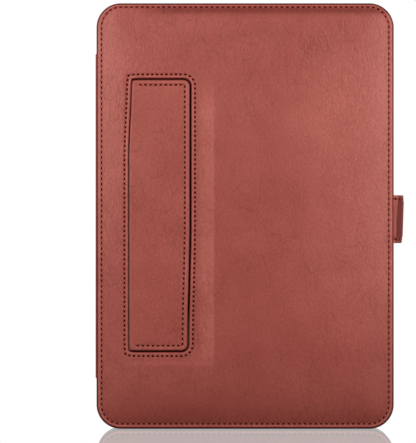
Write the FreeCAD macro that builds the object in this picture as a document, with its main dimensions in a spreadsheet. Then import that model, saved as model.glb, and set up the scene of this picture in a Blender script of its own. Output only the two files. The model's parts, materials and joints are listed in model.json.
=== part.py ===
"""A leather folio holding an e-reader and a slim keyboard, standing closed on its short edge.

Millimetres. +Z is up the tall side, the kickstand cover faces -Y, the spine is at -X and the
latch strap at +X. The origin is under the middle of the closed folio. Depths are counted from
the outermost face of the kickstand cover towards the front cover.
"""
import FreeCAD, Part

import os

from FreeCAD import Vector
import Sketcher

doc = FreeCAD.newDocument("Folio")

# Driving dimensions --------------------------------------------------------------------------

SIZES = {
    # covers
    "cover_wide": 183.0, "cover_tall": 262.0, "cover_round": 15.0,
    "edge_depth": 3.0, "back_crown": 3.0, "front_crown": 1.6, "crown_run": 14.0,
    "skin_depth": 1.2, "lining_depth": 0.8, "board_depth": 1.4,
    "board_inset": 6.0, "foam_inset": 16.0, "foam_round": 4.0,
    # kickstand flap and the well it folds into
    "flap_wide": 37.3, "flap_tall": 166.3, "flap_left": -71.4, "flap_mid": 131.5,
    "flap_depth": 2.6, "flap_round": 5.0, "flap_skin": 1.0, "flap_lining": 0.7,
    "flap_hem": 3.0, "well_gap": 0.9, "well_hinge_gap": 0.3, "well_depth": 3.0, "well_wall": 1.0,
    "keeper_edge": 10.0, "keeper_wide": 8.0, "keeper_tall": 60.0, "keeper_depth": 0.5,
    "stand_magnet": 6.0, "stand_magnet_depth": 0.7, "stand_magnet_gap": 40.0,
    # e-reader and the leather sleeve that holds it
    "body_gap": 0.3, "leaf_gap": 0.4, "reader_wide": 175.0, "reader_tall": 257.0,
    "reader_depth": 8.0,
    "reader_round": 11.0, "reader_mid": -0.7, "frame_depth": 5.2, "bezel_depth": 1.2,
    "shell_wall": 1.8, "shell_floor": 1.0,
    "scoop_tall": 40.7, "scoop_depth": 3.0, "scoop_sunk": 1.2, "scoop_round": 1.1,
    "leaf_depth": 1.2, "leaf_wide": 178.0, "leaf_tall": 259.4, "leaf_round": 12.0,
    "opening_wide": 161.0, "opening_tall": 236.0, "opening_round": 4.0,
    "strip_depth": 1.1, "strip_tall": 61.7, "strip_from_mid": 75.65, "spine_strip_tall": 214.0,
    # the screen, from the glass backwards
    "window_wide": 157.6, "window_tall": 210.0, "window_round": 1.0, "glass_gap": 0.2,
    "glass_depth": 1.0, "panel_wide": 162.0, "panel_tall": 214.0, "guide_depth": 0.5,
    "panel_depth": 0.8, "chassis_wide": 168.0, "chassis_tall": 231.0, "chassis_depth": 0.8,
    "chassis_round": 3.0,
    "flex_wide": 30.0, "flex_tall": 30.0, "flex_depth": 0.4, "flex_mid": 47.0,
    # electronics
    "cell_wide": 120.0, "cell_tall": 140.0, "cell_depth": 3.0, "cell_mid": 160.0, "cell_round": 3.0,
    "main_wide": 150.0, "main_tall": 60.0, "main_depth": 1.0,
    "can_wide": 44.0, "can_tall": 36.0, "can_depth": 1.6, "can_wall": 0.3, "can_mid": 42.0,
    "can_side": 20.0,
    "port_wide": 8.9, "port_tall": 7.1, "port_depth": 3.2, "port_wall": 0.4, "port_play": 0.1,
    "port_round": 1.05, "port_floor": 1.0, "port_sunk": 0.1, "port_rise": 0.1,
    "screw_inset": 7.0, "screw_head": 3.8, "screw_shank": 1.8, "head_depth": 1.2,
    "screw_bore": 2.2, "head_bore": 4.0, "boss": 5.0, "head_sunk": 1.4, "thread_depth": 3.1,
    # the e-reader's buttons
    "key_wide": 22.0, "key_tall": 5.0, "key_play": 0.3, "key_rise": 19.5, "key_pitch": 45.0,
    "key_round": 1.0, "key_hole_round": 1.2, "key_lip": 1.0, "lip_depth": 0.2, "lip_drop": 0.1,
    "key_sunk": 0.05,
    "switch_board_wide": 130.0, "switch_board_tall": 8.0, "switch_board_depth": 0.4,
    "power_wide": 13.8, "power_depth": 2.0, "power_play": 0.3, "power_proud": 0.2,
    "power_at": 55.0, "power_lip": 1.2, "power_lip_tall": 0.5, "power_set_back": 0.45,
    "cut_past": 0.2,
    # keyboard
    "board_wide": 174.0, "board_tall": 256.4, "board_round": 11.0, "keys_depth": 4.6,
    "deck_depth": 1.2, "rim_depth": 1.9, "base_floor": 0.8, "rim_wall": 4.0,
    "field_wide": 96.0, "field_tall": 244.0, "field_mid": -32.0, "field_round": 2.0,
    "mat_play": 0.3, "mat_sheet": 0.4, "cap_sunk": 0.1, "cap_wide": 15.2, "cap_tall": 15.2,
    "cap_round": 1.5,
    "cap_pitch": 18.6, "membrane_depth": 0.6, "space_tall": 89.6,
    "cell_two_wide": 50.0, "cell_two_tall": 130.0, "cell_two_depth": 2.2, "cell_two_mid": 50.0,
    "cell_two_gap": 0.2,
    "knob_wide": 6.0, "knob_depth": 1.0, "knob_play": 0.2, "knob_travel": 3.0, "knob_at": 30.0,
    "knob_proud": 0.1, "knob_lip": 1.5, "knob_lip_tall": 1.0,
    "socket_wide": 7.5, "socket_tall": 6.0, "socket_depth": 2.4, "socket_wall": 0.35,
    "socket_round": 0.8,
    "socket_at": -25.0,
    # elastic corner loops
    "elastic_depth": 0.6, "elastic_near": 27.0, "elastic_far": 38.3, "elastic_margin": 3.0,
    # spine
    "spine_tall": 200.0, "spine_skin": 1.0, "spine_board": 0.8, "spine_lining": 0.7,
    "spine_proud": 1.2, "spine_gap": 0.3, "spine_board_inset": 5.0, "spine_board_side": 1.0,
    # latch strap
    "latch_tall": 29.5, "latch_mid": 129.1, "root_depth": 1.6, "root_inside": 5.0,
    "root_outside": 3.5, "strap_near": 4.4, "strap_skin": 1.1, "strap_lining": 0.7,
    "strap_start": 6.0, "tip_long": 26.85, "tip_corner": 0.4, "tip_gap": 0.3,
    "tip_skin": 1.3, "tip_lining": 0.7, "tip_round": 4.0,
    "latch_magnet": 12.0, "latch_magnet_depth": 0.8, "latch_magnet_at": 76.0,
    "strike": 14.0, "strike_depth": 0.8,
}


class Size:
    """A length in mm together with the spreadsheet expression that gives it."""

    def __init__(self, mm, text):
        self.mm = mm
        self.text = text

    def __add__(self, other):
        other = as_size(other)
        return Size(self.mm + other.mm, f"({self.text} + {other.text})")

    def __sub__(self, other):
        other = as_size(other)
        return Size(self.mm - other.mm, f"({self.text} - {other.text})")

    def __mul__(self, factor):
        return Size(self.mm * factor, f"({self.text} * {factor})")

    def __truediv__(self, factor):
        return Size(self.mm / factor, f"({self.text} / {factor})")

    def __neg__(self):
        return self * -1

    __radd__ = __add__
    __rmul__ = __mul__


def as_size(value):
    return value if isinstance(value, Size) else Size(float(value), str(float(value)))


sheet = doc.addObject("Spreadsheet::Sheet", "Sizes")
size = {}
for row, (name, mm) in enumerate(SIZES.items(), start=1):
    sheet.set(f"A{row}", name)
    sheet.set(f"B{row}", str(mm))
    sheet.setAlias(f"B{row}", name)
    size[name] = Size(mm, f"Sizes.{name}")
doc.recompute()

# Places worked out from the sizes ------------------------------------------------------------

back_deep = size["back_crown"] + size["edge_depth"]
reader_back = back_deep + size["body_gap"]
reader_front = reader_back + size["reader_depth"]
frame_back = reader_front - size["frame_depth"]
bezel_back = reader_front - size["bezel_depth"]
leaf_back = reader_front + size["body_gap"]
leaf_front = leaf_back + size["leaf_depth"]
elastic_front = leaf_front + size["leaf_gap"]
keys_front = elastic_front + size["elastic_depth"]
front_back = keys_front + size["keys_depth"]
front_deep = size["front_crown"] + size["edge_depth"]
folio_deep = front_back + front_deep

tip_back = folio_deep + size["tip_gap"]
tip_front = tip_back + size["tip_lining"] + size["tip_skin"]
strap_back = size["cover_wide"] / 2 + size["strap_near"]
strap_front = strap_back + size["strap_lining"] + size["strap_skin"]
spine_out = size["cover_wide"] / 2 + size["spine_proud"]

# The covers' own middle stands off the origin, so that the whole closed folio is centred on it.
middle_x = (spine_out - strap_front) / 2
middle_y = -tip_front / 2
middle_z = size["cover_tall"] / 2
reader_foot = middle_z - size["reader_tall"] / 2
keys_foot = middle_z - size["board_tall"] / 2

# Outlines ------------------------------------------------------------------------------------


def pin(sketch, element, point, x, y):
    """Fix one point of a sketch element at x, y from the sketch's origin."""
    for kind, at in (("DistanceX", x), ("DistanceY", y)):
        index = sketch.addConstraint(Sketcher.Constraint(kind, -1, 1, element, point, at.mm))
        sketch.setExpression(f"Constraints[{index}]", at.text)


def polygon(points):
    """A closed outline with straight sides through the points, in order."""
    points = [(as_size(x), as_size(y)) for x, y in points]

    def draw(sketch):
        lines = []
        for (x0, y0), (x1, y1) in zip(points, points[1:] + points[:1]):
            line = Part.LineSegment(Vector(x0.mm, y0.mm, 0), Vector(x1.mm, y1.mm, 0))
            lines.append(sketch.addGeometry(line, False))
        for line, follower in zip(lines, lines[1:] + lines[:1]):
            sketch.addConstraint(Sketcher.Constraint("Coincident", line, 2, follower, 1))
        for line, (x, y) in zip(lines, points):
            pin(sketch, line, 1, x, y)

    return draw


def rectangle(wide, tall, x=0, y=0):
    """A rectangle centred on x, y."""
    wide, tall, x, y = as_size(wide), as_size(tall), as_size(x), as_size(y)
    left, right = x - wide / 2, x + wide / 2
    low, high = y - tall / 2, y + tall / 2
    return polygon([(left, low), (right, low), (right, high), (left, high)])


def rounded(wide, tall, radius, x=0, y=0):
    """A rectangle with round corners, centred on x, y."""
    wide, tall, radius = as_size(wide), as_size(tall), as_size(radius)
    x, y = as_size(x), as_size(y)

    def draw(sketch):
        half_w, half_t = wide / 2 - radius, tall / 2 - radius
        centres = [
            (x - half_w, y - half_t), (x + half_w, y - half_t),
            (x + half_w, y + half_t), (x - half_w, y + half_t),
        ]
        quarter = 1.5707963267948966
        arcs = []
        for turn, (cx, cy) in enumerate(centres):
            circle = Part.Circle(Vector(cx.mm, cy.mm, 0), Vector(0, 0, 1), radius.mm)
            start = (turn + 2) * quarter
            arc = Part.ArcOfCircle(circle, start, start + quarter)
            arcs.append(sketch.addGeometry(arc, False))
        sides = []
        for arc, follower in zip(arcs, arcs[1:] + arcs[:1]):
            ends = sketch.Geometry[arc].EndPoint, sketch.Geometry[follower].StartPoint
            side = sketch.addGeometry(Part.LineSegment(*ends), False)
            sketch.addConstraint(Sketcher.Constraint("Tangent", arc, 2, side, 1))
            sketch.addConstraint(Sketcher.Constraint("Tangent", side, 2, follower, 1))
            sides.append(side)
        for side, way in zip(sides, ("Horizontal", "Vertical") * 2):
            sketch.addConstraint(Sketcher.Constraint(way, side))
        for arc in arcs[1:]:
            sketch.addConstraint(Sketcher.Constraint("Equal", arcs[0], arc))
        pin(sketch, arcs[0], 3, *centres[0])
        pin(sketch, arcs[2], 3, *centres[2])
        bend = sketch.addConstraint(Sketcher.Constraint("Radius", arcs[0], radius.mm))
        sketch.setExpression(f"Constraints[{bend}]", radius.text)

    return draw


def disc(across, x=0, y=0):
    """A circle centred on x, y."""
    across, x, y = as_size(across), as_size(x), as_size(y)

    def draw(sketch):
        circle = Part.Circle(Vector(x.mm, y.mm, 0), Vector(0, 0, 1), across.mm / 2)
        index = sketch.addGeometry(circle, False)
        pin(sketch, index, 3, x, y)
        bound = sketch.addConstraint(Sketcher.Constraint("Diameter", index, across.mm))
        sketch.setExpression(f"Constraints[{bound}]", across.text)

    return draw


# Bodies --------------------------------------------------------------------------------------

parts = {}


class Piece:
    """One sub-part: a PartDesign body whose sketches face the covers or lie flat.

    An upright sketch has x across and y up, and its depth runs towards the front cover. A flat
    sketch has x across and y along the depth, and its features grow upwards.
    """

    def __init__(self, name, depth=0, x=0, z=0):
        self.body = doc.addObject("PartDesign::Body", name)
        self.body.Label = name
        place = (middle_x + as_size(x), middle_y + as_size(depth), as_size(z))
        for axis, at in zip("xyz", place):
            self.body.setExpression(f".Placement.Base.{axis}", at.text)
        parts[name] = self.body

    def sketch(self, outlines, start, flat=False):
        role = "XY_Plane" if flat else "XZ_Plane"
        plane = [f for f in self.body.Origin.OriginFeatures if f.Role == role][0]
        sketch = self.body.newObject("Sketcher::SketchObject", self.body.Label + "_sketch")
        sketch.AttachmentSupport = (plane, [""])
        sketch.MapMode = "FlatFace"
        offset = as_size(start) if flat else -as_size(start)
        sketch.setExpression(".AttachmentOffset.Base.z", offset.text)
        for draw in outlines:
            draw(sketch)
        return sketch

    def feature(self, kind, outlines, start, length, flat, reverse):
        sketch = self.sketch(outlines, start, flat)
        made = self.body.newObject(f"PartDesign::{kind}", self.body.Label + "_" + kind.lower())
        made.Profile = sketch
        made.setExpression("Length", as_size(length).text)
        made.Reversed = reverse
        self.body.Tip = made
        return made

    def grow(self, outlines, start, length, flat=False):
        """Add the outlines' area from start, as deep as length."""
        return self.feature("Pad", outlines, start, length, flat, not flat)

    def cut(self, outlines, start, length, flat=False):
        """Take the outlines' area away from start, as deep as length."""
        return self.feature("Pocket", outlines, start, length, flat, flat)

    def loft(self, first, first_at, second, second_at):
        """Add the straight-sided body between two outlines at two depths."""
        profile = self.sketch([first], first_at)
        section = self.sketch([second], second_at)
        made = self.body.newObject("PartDesign::AdditiveLoft", self.body.Label + "_loft")
        made.Profile = profile
        made.Sections = [(section, [""])]
        made.Ruled = True
        self.body.Tip = made
        return made

    def repeat(self, feature, axis, span, count):
        """Repeat a feature along the sketch's H or V axis, over a span."""
        pattern = self.body.newObject("PartDesign::LinearPattern", self.body.Label + "_row")
        pattern.Originals = [feature]
        pattern.Direction = (feature.Profile[0], [axis])
        pattern.setExpression("Length", as_size(span).text)
        pattern.Occurrences = count
        self.body.Tip = pattern


def plate(name, outlines, depth, thick, x=0, z=middle_z):
    """A flat piece of one thickness."""
    piece = Piece(name, depth, x, z)
    piece.grow(outlines, 0, thick)
    return piece


# Kickstand cover -----------------------------------------------------------------------------

cover_outline = rounded(size["cover_wide"], size["cover_tall"], size["cover_round"])
crown_outline = rounded(
    size["cover_wide"] - 2 * size["crown_run"],
    size["cover_tall"] - 2 * size["crown_run"],
    size["cover_round"] - size["crown_run"],
)
board_outline = rounded(
    size["cover_wide"] - 2 * size["board_inset"],
    size["cover_tall"] - 2 * size["board_inset"],
    size["cover_round"] - size["board_inset"],
)
foam_outline = rounded(
    size["cover_wide"] - 2 * size["foam_inset"],
    size["cover_tall"] - 2 * size["foam_inset"],
    size["foam_round"],
)

well_left = size["flap_left"] - size["well_hinge_gap"]
well_right = size["flap_left"] + size["flap_wide"] + size["well_gap"]
well_wide = well_right - well_left
well_tall = size["flap_tall"] + 2 * size["well_gap"]
well_x = (well_left + well_right) / 2
flap_x = size["flap_left"] + size["flap_wide"] / 2
flap_up = size["flap_mid"] - middle_z
keeper_x = size["flap_left"] + size["flap_wide"] - size["keeper_edge"]


def well_outline(wall):
    return rounded(
        well_wide + 2 * wall,
        well_tall + 2 * wall,
        size["flap_round"] + size["well_gap"] + wall,
        well_x,
        flap_up,
    )


def make_back_cover():
    skin, foam_back = size["skin_depth"], back_deep - size["lining_depth"] - size["board_depth"]
    lining_back = back_deep - size["lining_depth"]
    window = well_outline(size["well_wall"])

    leather = Piece("back_cover_leather", 0, 0, middle_z)
    leather.grow([cover_outline], size["back_crown"], lining_back - size["back_crown"])
    leather.loft(cover_outline, size["back_crown"], crown_outline, 0)
    leather.cut([board_outline], foam_back, size["board_depth"])
    leather.cut([foam_outline], skin, foam_back - skin)
    leather.cut([window], 0, foam_back)
    root_slot = rectangle(
        size["root_inside"] * 2, size["latch_tall"],
        size["cover_wide"] / 2, size["latch_mid"] - middle_z,
    )
    leather.cut([root_slot], lining_back - size["root_depth"], size["root_depth"])

    plate("back_cover_foam", [foam_outline, window], skin, foam_back - skin)
    board = plate("back_cover_board", [board_outline], foam_back, size["board_depth"])
    keeper = rectangle(size["keeper_wide"], size["keeper_tall"], keeper_x, flap_up)
    board.cut([keeper], 0, size["keeper_depth"])
    plate("stand_keeper", [keeper], foam_back, size["keeper_depth"])
    plate("back_cover_lining", [cover_outline], lining_back, size["lining_depth"])

    well = plate("stand_well", [window], 0, foam_back)
    well.cut([well_outline(as_size(0))], 0, size["well_depth"])


def make_flap():
    outline = rounded(size["flap_wide"], size["flap_tall"], size["flap_round"], flap_x, flap_up)
    inner_wide = size["flap_wide"] - 2 * size["flap_hem"]
    inner_tall = size["flap_tall"] - 2 * size["flap_hem"]
    inner = rounded(inner_wide, inner_tall, size["flap_round"] - size["flap_hem"], flap_x, flap_up)
    board_depth = size["flap_depth"] - size["flap_skin"] - size["flap_lining"]
    magnets = [
        disc(size["stand_magnet"], keeper_x, flap_up + size["stand_magnet_gap"] / 2 * side)
        for side in (-1, 1)
    ]
    leather = plate("flap_leather", [outline], 0, size["flap_depth"] - size["flap_lining"])
    leather.cut([inner], size["flap_skin"], board_depth)
    board = plate("flap_board", [inner], size["flap_skin"], board_depth)
    board.cut(magnets, 0, size["stand_magnet_depth"])
    plate("flap_magnets", magnets, size["flap_skin"], size["stand_magnet_depth"])
    plate("flap_lining", [outline], size["flap_depth"] - size["flap_lining"], size["flap_lining"])


# Sleeve that holds the e-reader --------------------------------------------------------------


def make_sleeve():
    window = rounded(size["opening_wide"], size["opening_tall"], size["opening_round"])
    border = rounded(size["leaf_wide"], size["leaf_tall"], size["leaf_round"])
    leaf_x = size["reader_mid"]
    plate("sleeve_leaf", [border, window], leaf_back, size["leaf_depth"], leaf_x)
    side = size["leaf_wide"] / 2 - size["strip_depth"] / 2
    deep = leaf_back - back_deep
    for name, up in (("sleeve_strip_upper", 1), ("sleeve_strip_lower", -1)):
        strip = rectangle(size["strip_depth"], size["strip_tall"])
        plate(name, [strip], back_deep, deep, leaf_x + side,
              middle_z + size["strip_from_mid"] * up)
    strip = rectangle(size["strip_depth"], size["spine_strip_tall"])
    plate("sleeve_strip_spine", [strip], back_deep, deep, leaf_x - side)


# Spine ---------------------------------------------------------------------------------------


def make_spine():
    foot = back_deep + size["spine_gap"]
    deep = front_back - size["spine_gap"] - foot
    layers = (
        ("spine_leather", size["spine_skin"], size["spine_tall"], as_size(0)),
        ("spine_board", size["spine_board"],
         size["spine_tall"] - 2 * size["spine_board_inset"], size["spine_board_side"]),
        ("spine_lining", size["spine_lining"], size["spine_tall"], as_size(0)),
    )
    left = -spine_out
    for name, thick, tall, side in layers:
        plate(name, [rectangle(thick, tall)], foot + side, deep - 2 * side, left + thick / 2)
        left = left + thick


# Front cover ---------------------------------------------------------------------------------


def make_front_cover():
    board_back = front_back + size["lining_depth"]
    foam_back = board_back + size["board_depth"]
    skin_back = folio_deep - size["skin_depth"]
    strike = disc(size["strike"], size["latch_magnet_at"], size["latch_mid"] - middle_z)

    plate("front_cover_lining", [cover_outline], front_back, size["lining_depth"])
    board = plate("front_cover_board", [board_outline], board_back, size["board_depth"])
    board.cut([strike], size["board_depth"] - size["strike_depth"], size["strike_depth"])
    plate("latch_strike", [strike], foam_back - size["strike_depth"], size["strike_depth"])
    plate("front_cover_foam", [foam_outline], foam_back, skin_back - foam_back)

    leather = Piece("front_cover_leather", board_back, 0, middle_z)
    edge = size["edge_depth"] - size["lining_depth"]
    leather.grow([cover_outline], 0, edge)
    leather.loft(cover_outline, edge, crown_outline, edge + size["front_crown"])
    leather.cut([board_outline], 0, size["board_depth"])
    leather.cut([foam_outline], size["board_depth"], skin_back - foam_back)


# Latch strap ---------------------------------------------------------------------------------


def make_latch():
    band = size["latch_tall"]
    root_long = size["root_inside"] + size["root_outside"]
    root_x = size["cover_wide"] / 2 + (size["root_outside"] - size["root_inside"]) / 2
    root_back = back_deep - size["lining_depth"] - size["root_depth"]
    root = rectangle(root_long, band)
    plate("latch_root", [root], root_back, size["root_depth"], root_x, size["latch_mid"])

    start = size["strap_start"]
    left = strap_back
    for name, thick in (("latch_span_lining", size["strap_lining"]),
                        ("latch_span_leather", size["strap_skin"])):
        plate(name, [rectangle(thick, band)], start, folio_deep - start,
              left + thick / 2, size["latch_mid"])
        left = left + thick

    tip_x = strap_back - size["tip_corner"] - size["tip_long"] / 2
    rounded_tip = [rounded(size["tip_long"], band, size["tip_round"])]
    magnet = disc(size["latch_magnet"], size["latch_magnet_at"] - tip_x)
    plate("latch_tip_lining", rounded_tip, tip_back, size["tip_lining"], tip_x, size["latch_mid"])
    tip = plate("latch_tip_leather", rounded_tip, tip_back + size["tip_lining"],
                size["tip_skin"], tip_x, size["latch_mid"])
    tip.cut([magnet], 0, size["latch_magnet_depth"])
    plate("latch_magnet", [magnet], tip_back + size["tip_lining"], size["latch_magnet_depth"],
          tip_x, size["latch_mid"])


# E-reader ------------------------------------------------------------------------------------

screw_x = size["reader_wide"] / 2 - size["screw_inset"]
screw_z = size["reader_tall"] / 2 - size["screw_inset"]
screw_spots = [(screw_x * right, screw_z * up) for right in (-1, 1) for up in (-1, 1)]
key_up = size["key_rise"] - middle_z
key_names = ("page_back_button", "home_button", "page_next_button")
port_mid = frame_back + size["port_rise"]


def reader_outline(inset):
    return rounded(
        size["reader_wide"] - 2 * inset,
        size["reader_tall"] - 2 * inset,
        size["reader_round"] - inset,
    )


def screw_discs(across):
    return [disc(across, x, z) for x, z in screw_spots]


def make_reader_case():
    outline = reader_outline(as_size(0))
    cavity = reader_outline(size["shell_wall"])
    port_wide = size["port_wide"] + 2 * size["port_play"]
    port_deep = size["port_depth"] + 2 * size["port_play"]
    port_slot = rectangle(port_wide, size["shell_wall"] * 2, 0, -size["reader_tall"] / 2)
    port_back = port_mid - port_deep / 2

    rear = plate("rear_housing", [outline], reader_back, frame_back - reader_back,
                 size["reader_mid"])
    deep = frame_back - reader_back
    rear.cut([cavity], size["shell_floor"], deep - size["shell_floor"])
    rear.grow(screw_discs(size["boss"]), size["shell_floor"], deep - size["shell_floor"])
    rear.cut(screw_discs(size["screw_bore"]), 0, deep)
    rear.cut(screw_discs(size["head_bore"]), 0, size["head_sunk"])
    rear.cut([port_slot], port_back - reader_back, frame_back - port_back)

    frame = plate("front_frame", [outline], frame_back, size["frame_depth"], size["reader_mid"])
    hollow = bezel_back - frame_back
    frame.cut([cavity], 0, hollow)
    frame.grow(screw_discs(size["boss"]), 0, hollow)
    frame.cut(screw_discs(size["screw_shank"]), 0, size["thread_depth"])
    window = rounded(size["window_wide"], size["window_tall"], size["window_round"])
    key_holes = [
        rounded(size["key_wide"] + 2 * size["key_play"], size["key_tall"] + 2 * size["key_play"],
                size["key_hole_round"], size["key_pitch"] * step, key_up)
        for step in (-1, 0, 1)
    ]
    frame.cut([window] + key_holes, hollow, size["bezel_depth"])
    frame.cut([port_slot], 0, port_back + port_deep - frame_back)
    power_hole = rectangle(
        size["power_wide"] + 2 * size["power_play"], size["power_depth"] + 2 * size["power_play"],
        size["power_at"], hollow - size["power_set_back"] - size["power_depth"] / 2,
    )
    frame.cut([power_hole], size["reader_tall"] / 2 - size["shell_wall"] - size["cut_past"],
              size["shell_wall"] + 2 * size["cut_past"], flat=True)
    scoop = rounded(2 * size["scoop_sunk"], size["scoop_tall"], size["scoop_round"],
                    size["reader_wide"] / 2, size["latch_mid"] - middle_z)
    frame.cut([scoop], size["frame_depth"] - size["scoop_depth"], size["scoop_depth"])

    screws = Piece("housing_screws", reader_back, size["reader_mid"], middle_z)
    seat = size["head_sunk"] - size["head_depth"]
    screws.grow(screw_discs(size["screw_head"]), seat, size["head_depth"])
    screws.grow(screw_discs(size["screw_shank"]), size["head_sunk"],
                deep - size["head_sunk"] + size["thread_depth"])


def make_screen():
    x = size["reader_mid"]
    glass = rounded(
        size["window_wide"] - 2 * size["glass_gap"],
        size["window_tall"] - 2 * size["glass_gap"],
        size["window_round"] - size["glass_gap"],
    )
    panel = rectangle(size["panel_wide"], size["panel_tall"])
    guide_back = bezel_back - size["guide_depth"]
    panel_back = guide_back - size["panel_depth"]
    chassis_back = panel_back - size["chassis_depth"]
    plate("cover_glass", [glass], bezel_back, size["glass_depth"], x)
    plate("front_light_guide", [panel], guide_back, size["guide_depth"], x)
    plate("epaper_panel", [panel], panel_back, size["panel_depth"], x)
    chassis = rounded(size["chassis_wide"], size["chassis_tall"], size["chassis_round"])
    plate("chassis_plate", [chassis], chassis_back, size["chassis_depth"], x)
    flex = rectangle(size["flex_wide"], size["flex_tall"])
    plate("panel_flex", [flex], chassis_back - size["flex_depth"], size["flex_depth"], x,
          size["flex_mid"])
    return chassis_back


def make_electronics(chassis_back):
    x = size["reader_mid"]
    main_front = chassis_back - size["flex_depth"]
    main_back = main_front - size["main_depth"]
    cell = rounded(size["cell_wide"], size["cell_tall"], size["cell_round"])
    plate("battery", [cell], main_front - size["cell_depth"], size["cell_depth"], x,
          size["cell_mid"])
    port_foot = reader_foot + size["port_sunk"]
    main_foot = port_foot + size["port_tall"]
    main = rectangle(size["main_wide"], size["main_tall"])
    plate("main_board", [main], main_back, size["main_depth"], x,
          main_foot + size["main_tall"] / 2)
    can = rectangle(size["can_wide"], size["can_tall"])
    can_back = main_back - size["can_depth"]
    shield = plate("shield_can", [can], can_back, size["can_depth"], x + size["can_side"],
                   size["can_mid"])
    inner = rectangle(size["can_wide"] - 2 * size["can_wall"],
                      size["can_tall"] - 2 * size["can_wall"])
    shield.cut([inner], size["can_wall"], size["can_depth"] - size["can_wall"])
    make_port("usb_port", size["port_wide"], size["port_depth"], size["port_tall"],
              size["port_wall"], size["port_round"], x, port_mid, port_foot)


def make_port(name, wide, deep, tall, wall, corner, x, middle, foot):
    """A charging socket's metal shell, open downwards."""
    shell = Piece(name, middle, x, foot)
    shell.grow([rounded(wide, deep, corner)], 0, tall, flat=True)
    mouth = rounded(wide - 2 * wall, deep - 2 * wall, corner - wall)
    shell.cut([mouth], 0, tall - size["port_floor"], flat=True)


def make_buttons(chassis_back):
    x = size["reader_mid"]
    board_back = chassis_back + size["chassis_depth"]
    strip = rectangle(size["switch_board_wide"], size["switch_board_tall"])
    plate("key_switch_board", [strip], board_back, size["switch_board_depth"], x,
          size["key_rise"])
    lip_front = bezel_back - size["lip_drop"]
    cap = rounded(size["key_wide"], size["key_tall"], size["key_round"])
    lip = rounded(size["key_wide"] + 2 * size["key_lip"], size["key_tall"] + 2 * size["key_lip"],
                  size["key_round"])
    for step, name in zip((-1, 0, 1), key_names):
        button = plate(name, [lip], lip_front - size["lip_depth"], size["lip_depth"],
                       x + size["key_pitch"] * step, size["key_rise"])
        button.grow([cap], size["lip_depth"], reader_front - size["key_sunk"] - lip_front)

    top = reader_foot + size["reader_tall"]
    inner_top = top - size["shell_wall"]
    lip_gap = size["power_play"]
    middle = bezel_back - size["power_set_back"] - size["power_depth"] / 2
    button = Piece("power_button", middle, x + size["power_at"], inner_top - lip_gap)
    button.grow([rectangle(size["power_wide"] + 2 * size["power_lip"], size["power_depth"])],
                -size["power_lip_tall"], size["power_lip_tall"], flat=True)
    button.grow([rectangle(size["power_wide"], size["power_depth"])],
                0, lip_gap + size["shell_wall"] + size["power_proud"], flat=True)


# Keyboard ------------------------------------------------------------------------------------


def keys_outline(inset):
    return rounded(
        size["board_wide"] - 2 * inset,
        size["board_tall"] - 2 * inset,
        size["board_round"] - inset,
    )


KEY_ROWS = 5
KEYS_IN_ROW = 13
BAR_KEYS = 5  # the long bar takes the place of this many keys

rim_back = keys_front + size["deck_depth"]
base_back = rim_back + size["rim_depth"]
keys_cavity = keys_outline(size["rim_wall"])


def make_keyboard_shell():
    outline = keys_outline(as_size(0))
    field = rounded(size["field_wide"], size["field_tall"], size["field_round"],
                    size["field_mid"], 0)
    foot = -size["board_tall"] / 2
    slot = rectangle(size["knob_wide"] + size["knob_travel"] + 2 * size["knob_play"],
                     2 * size["rim_wall"], size["knob_at"], foot)
    socket = rectangle(size["socket_wide"] + 2 * size["port_play"], 2 * size["rim_wall"],
                       size["socket_at"], foot)

    plate("keyboard_deck", [outline, field], keys_front, size["deck_depth"])
    rim = plate("keyboard_rim", [outline, keys_cavity], rim_back, size["rim_depth"])
    knob_back = (size["rim_depth"] - size["knob_depth"]) / 2
    rim.cut([slot], knob_back - size["knob_play"], size["knob_depth"] + 2 * size["knob_play"])
    rim.cut([socket], 0, size["rim_depth"])
    base_deep = front_back - base_back
    base = plate("keyboard_base", [outline], base_back, base_deep)
    base.cut([keys_cavity], 0, base_deep - size["base_floor"])
    base.cut([socket], 0, base_deep - size["base_floor"])


def make_key_mat():
    """One moulded rubber sheet: four rows of thirteen keys and a row with the long bar."""
    mat = Piece("keyboard_key_mat", rim_back, size["field_mid"], middle_z)
    sheet_outline = rounded(size["field_wide"] - 2 * size["mat_play"],
                            size["field_tall"] - 2 * size["mat_play"], size["field_round"])
    mat.grow([sheet_outline], -size["mat_sheet"], size["mat_sheet"])
    cap_deep = size["deck_depth"] - size["mat_sheet"] - size["cap_sunk"]
    cap_start = -size["mat_sheet"] - cap_deep
    pitch = size["cap_pitch"]
    last = KEY_ROWS // 2
    ends = KEYS_IN_ROW // 2
    beside_bar = BAR_KEYS // 2

    def key(row, place, tall=size["cap_tall"]):
        return rounded(size["cap_wide"], tall, size["cap_round"], pitch * row, pitch * place)

    places = range(-ends, ends + 1)
    first = mat.grow([key(-last, place) for place in places], cap_start, cap_deep)
    mat.repeat(first, "H_Axis", pitch * (KEY_ROWS - 2), KEY_ROWS - 1)
    beside = [key(last, place) for place in places if abs(place) > beside_bar]
    mat.grow([key(last, 0, size["space_tall"])] + beside, cap_start, cap_deep)


def make_keyboard_insides():
    sheet_outline = rectangle(size["field_wide"] - 2 * size["mat_play"],
                              size["field_tall"] - 2 * size["mat_play"])
    plate("keyboard_membrane", [sheet_outline], rim_back, size["membrane_depth"],
          size["field_mid"])
    cell = rounded(size["cell_two_wide"], size["cell_two_tall"], size["cell_round"])
    plate("keyboard_battery", [cell], rim_back + size["cell_two_gap"],
          size["cell_two_depth"],
          size["cell_two_mid"])
    make_port("keyboard_port", size["socket_wide"], size["socket_depth"], size["socket_tall"],
              size["socket_wall"], size["socket_round"], size["socket_at"],
              rim_back + size["socket_depth"] / 2, keys_foot + size["port_sunk"])


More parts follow.
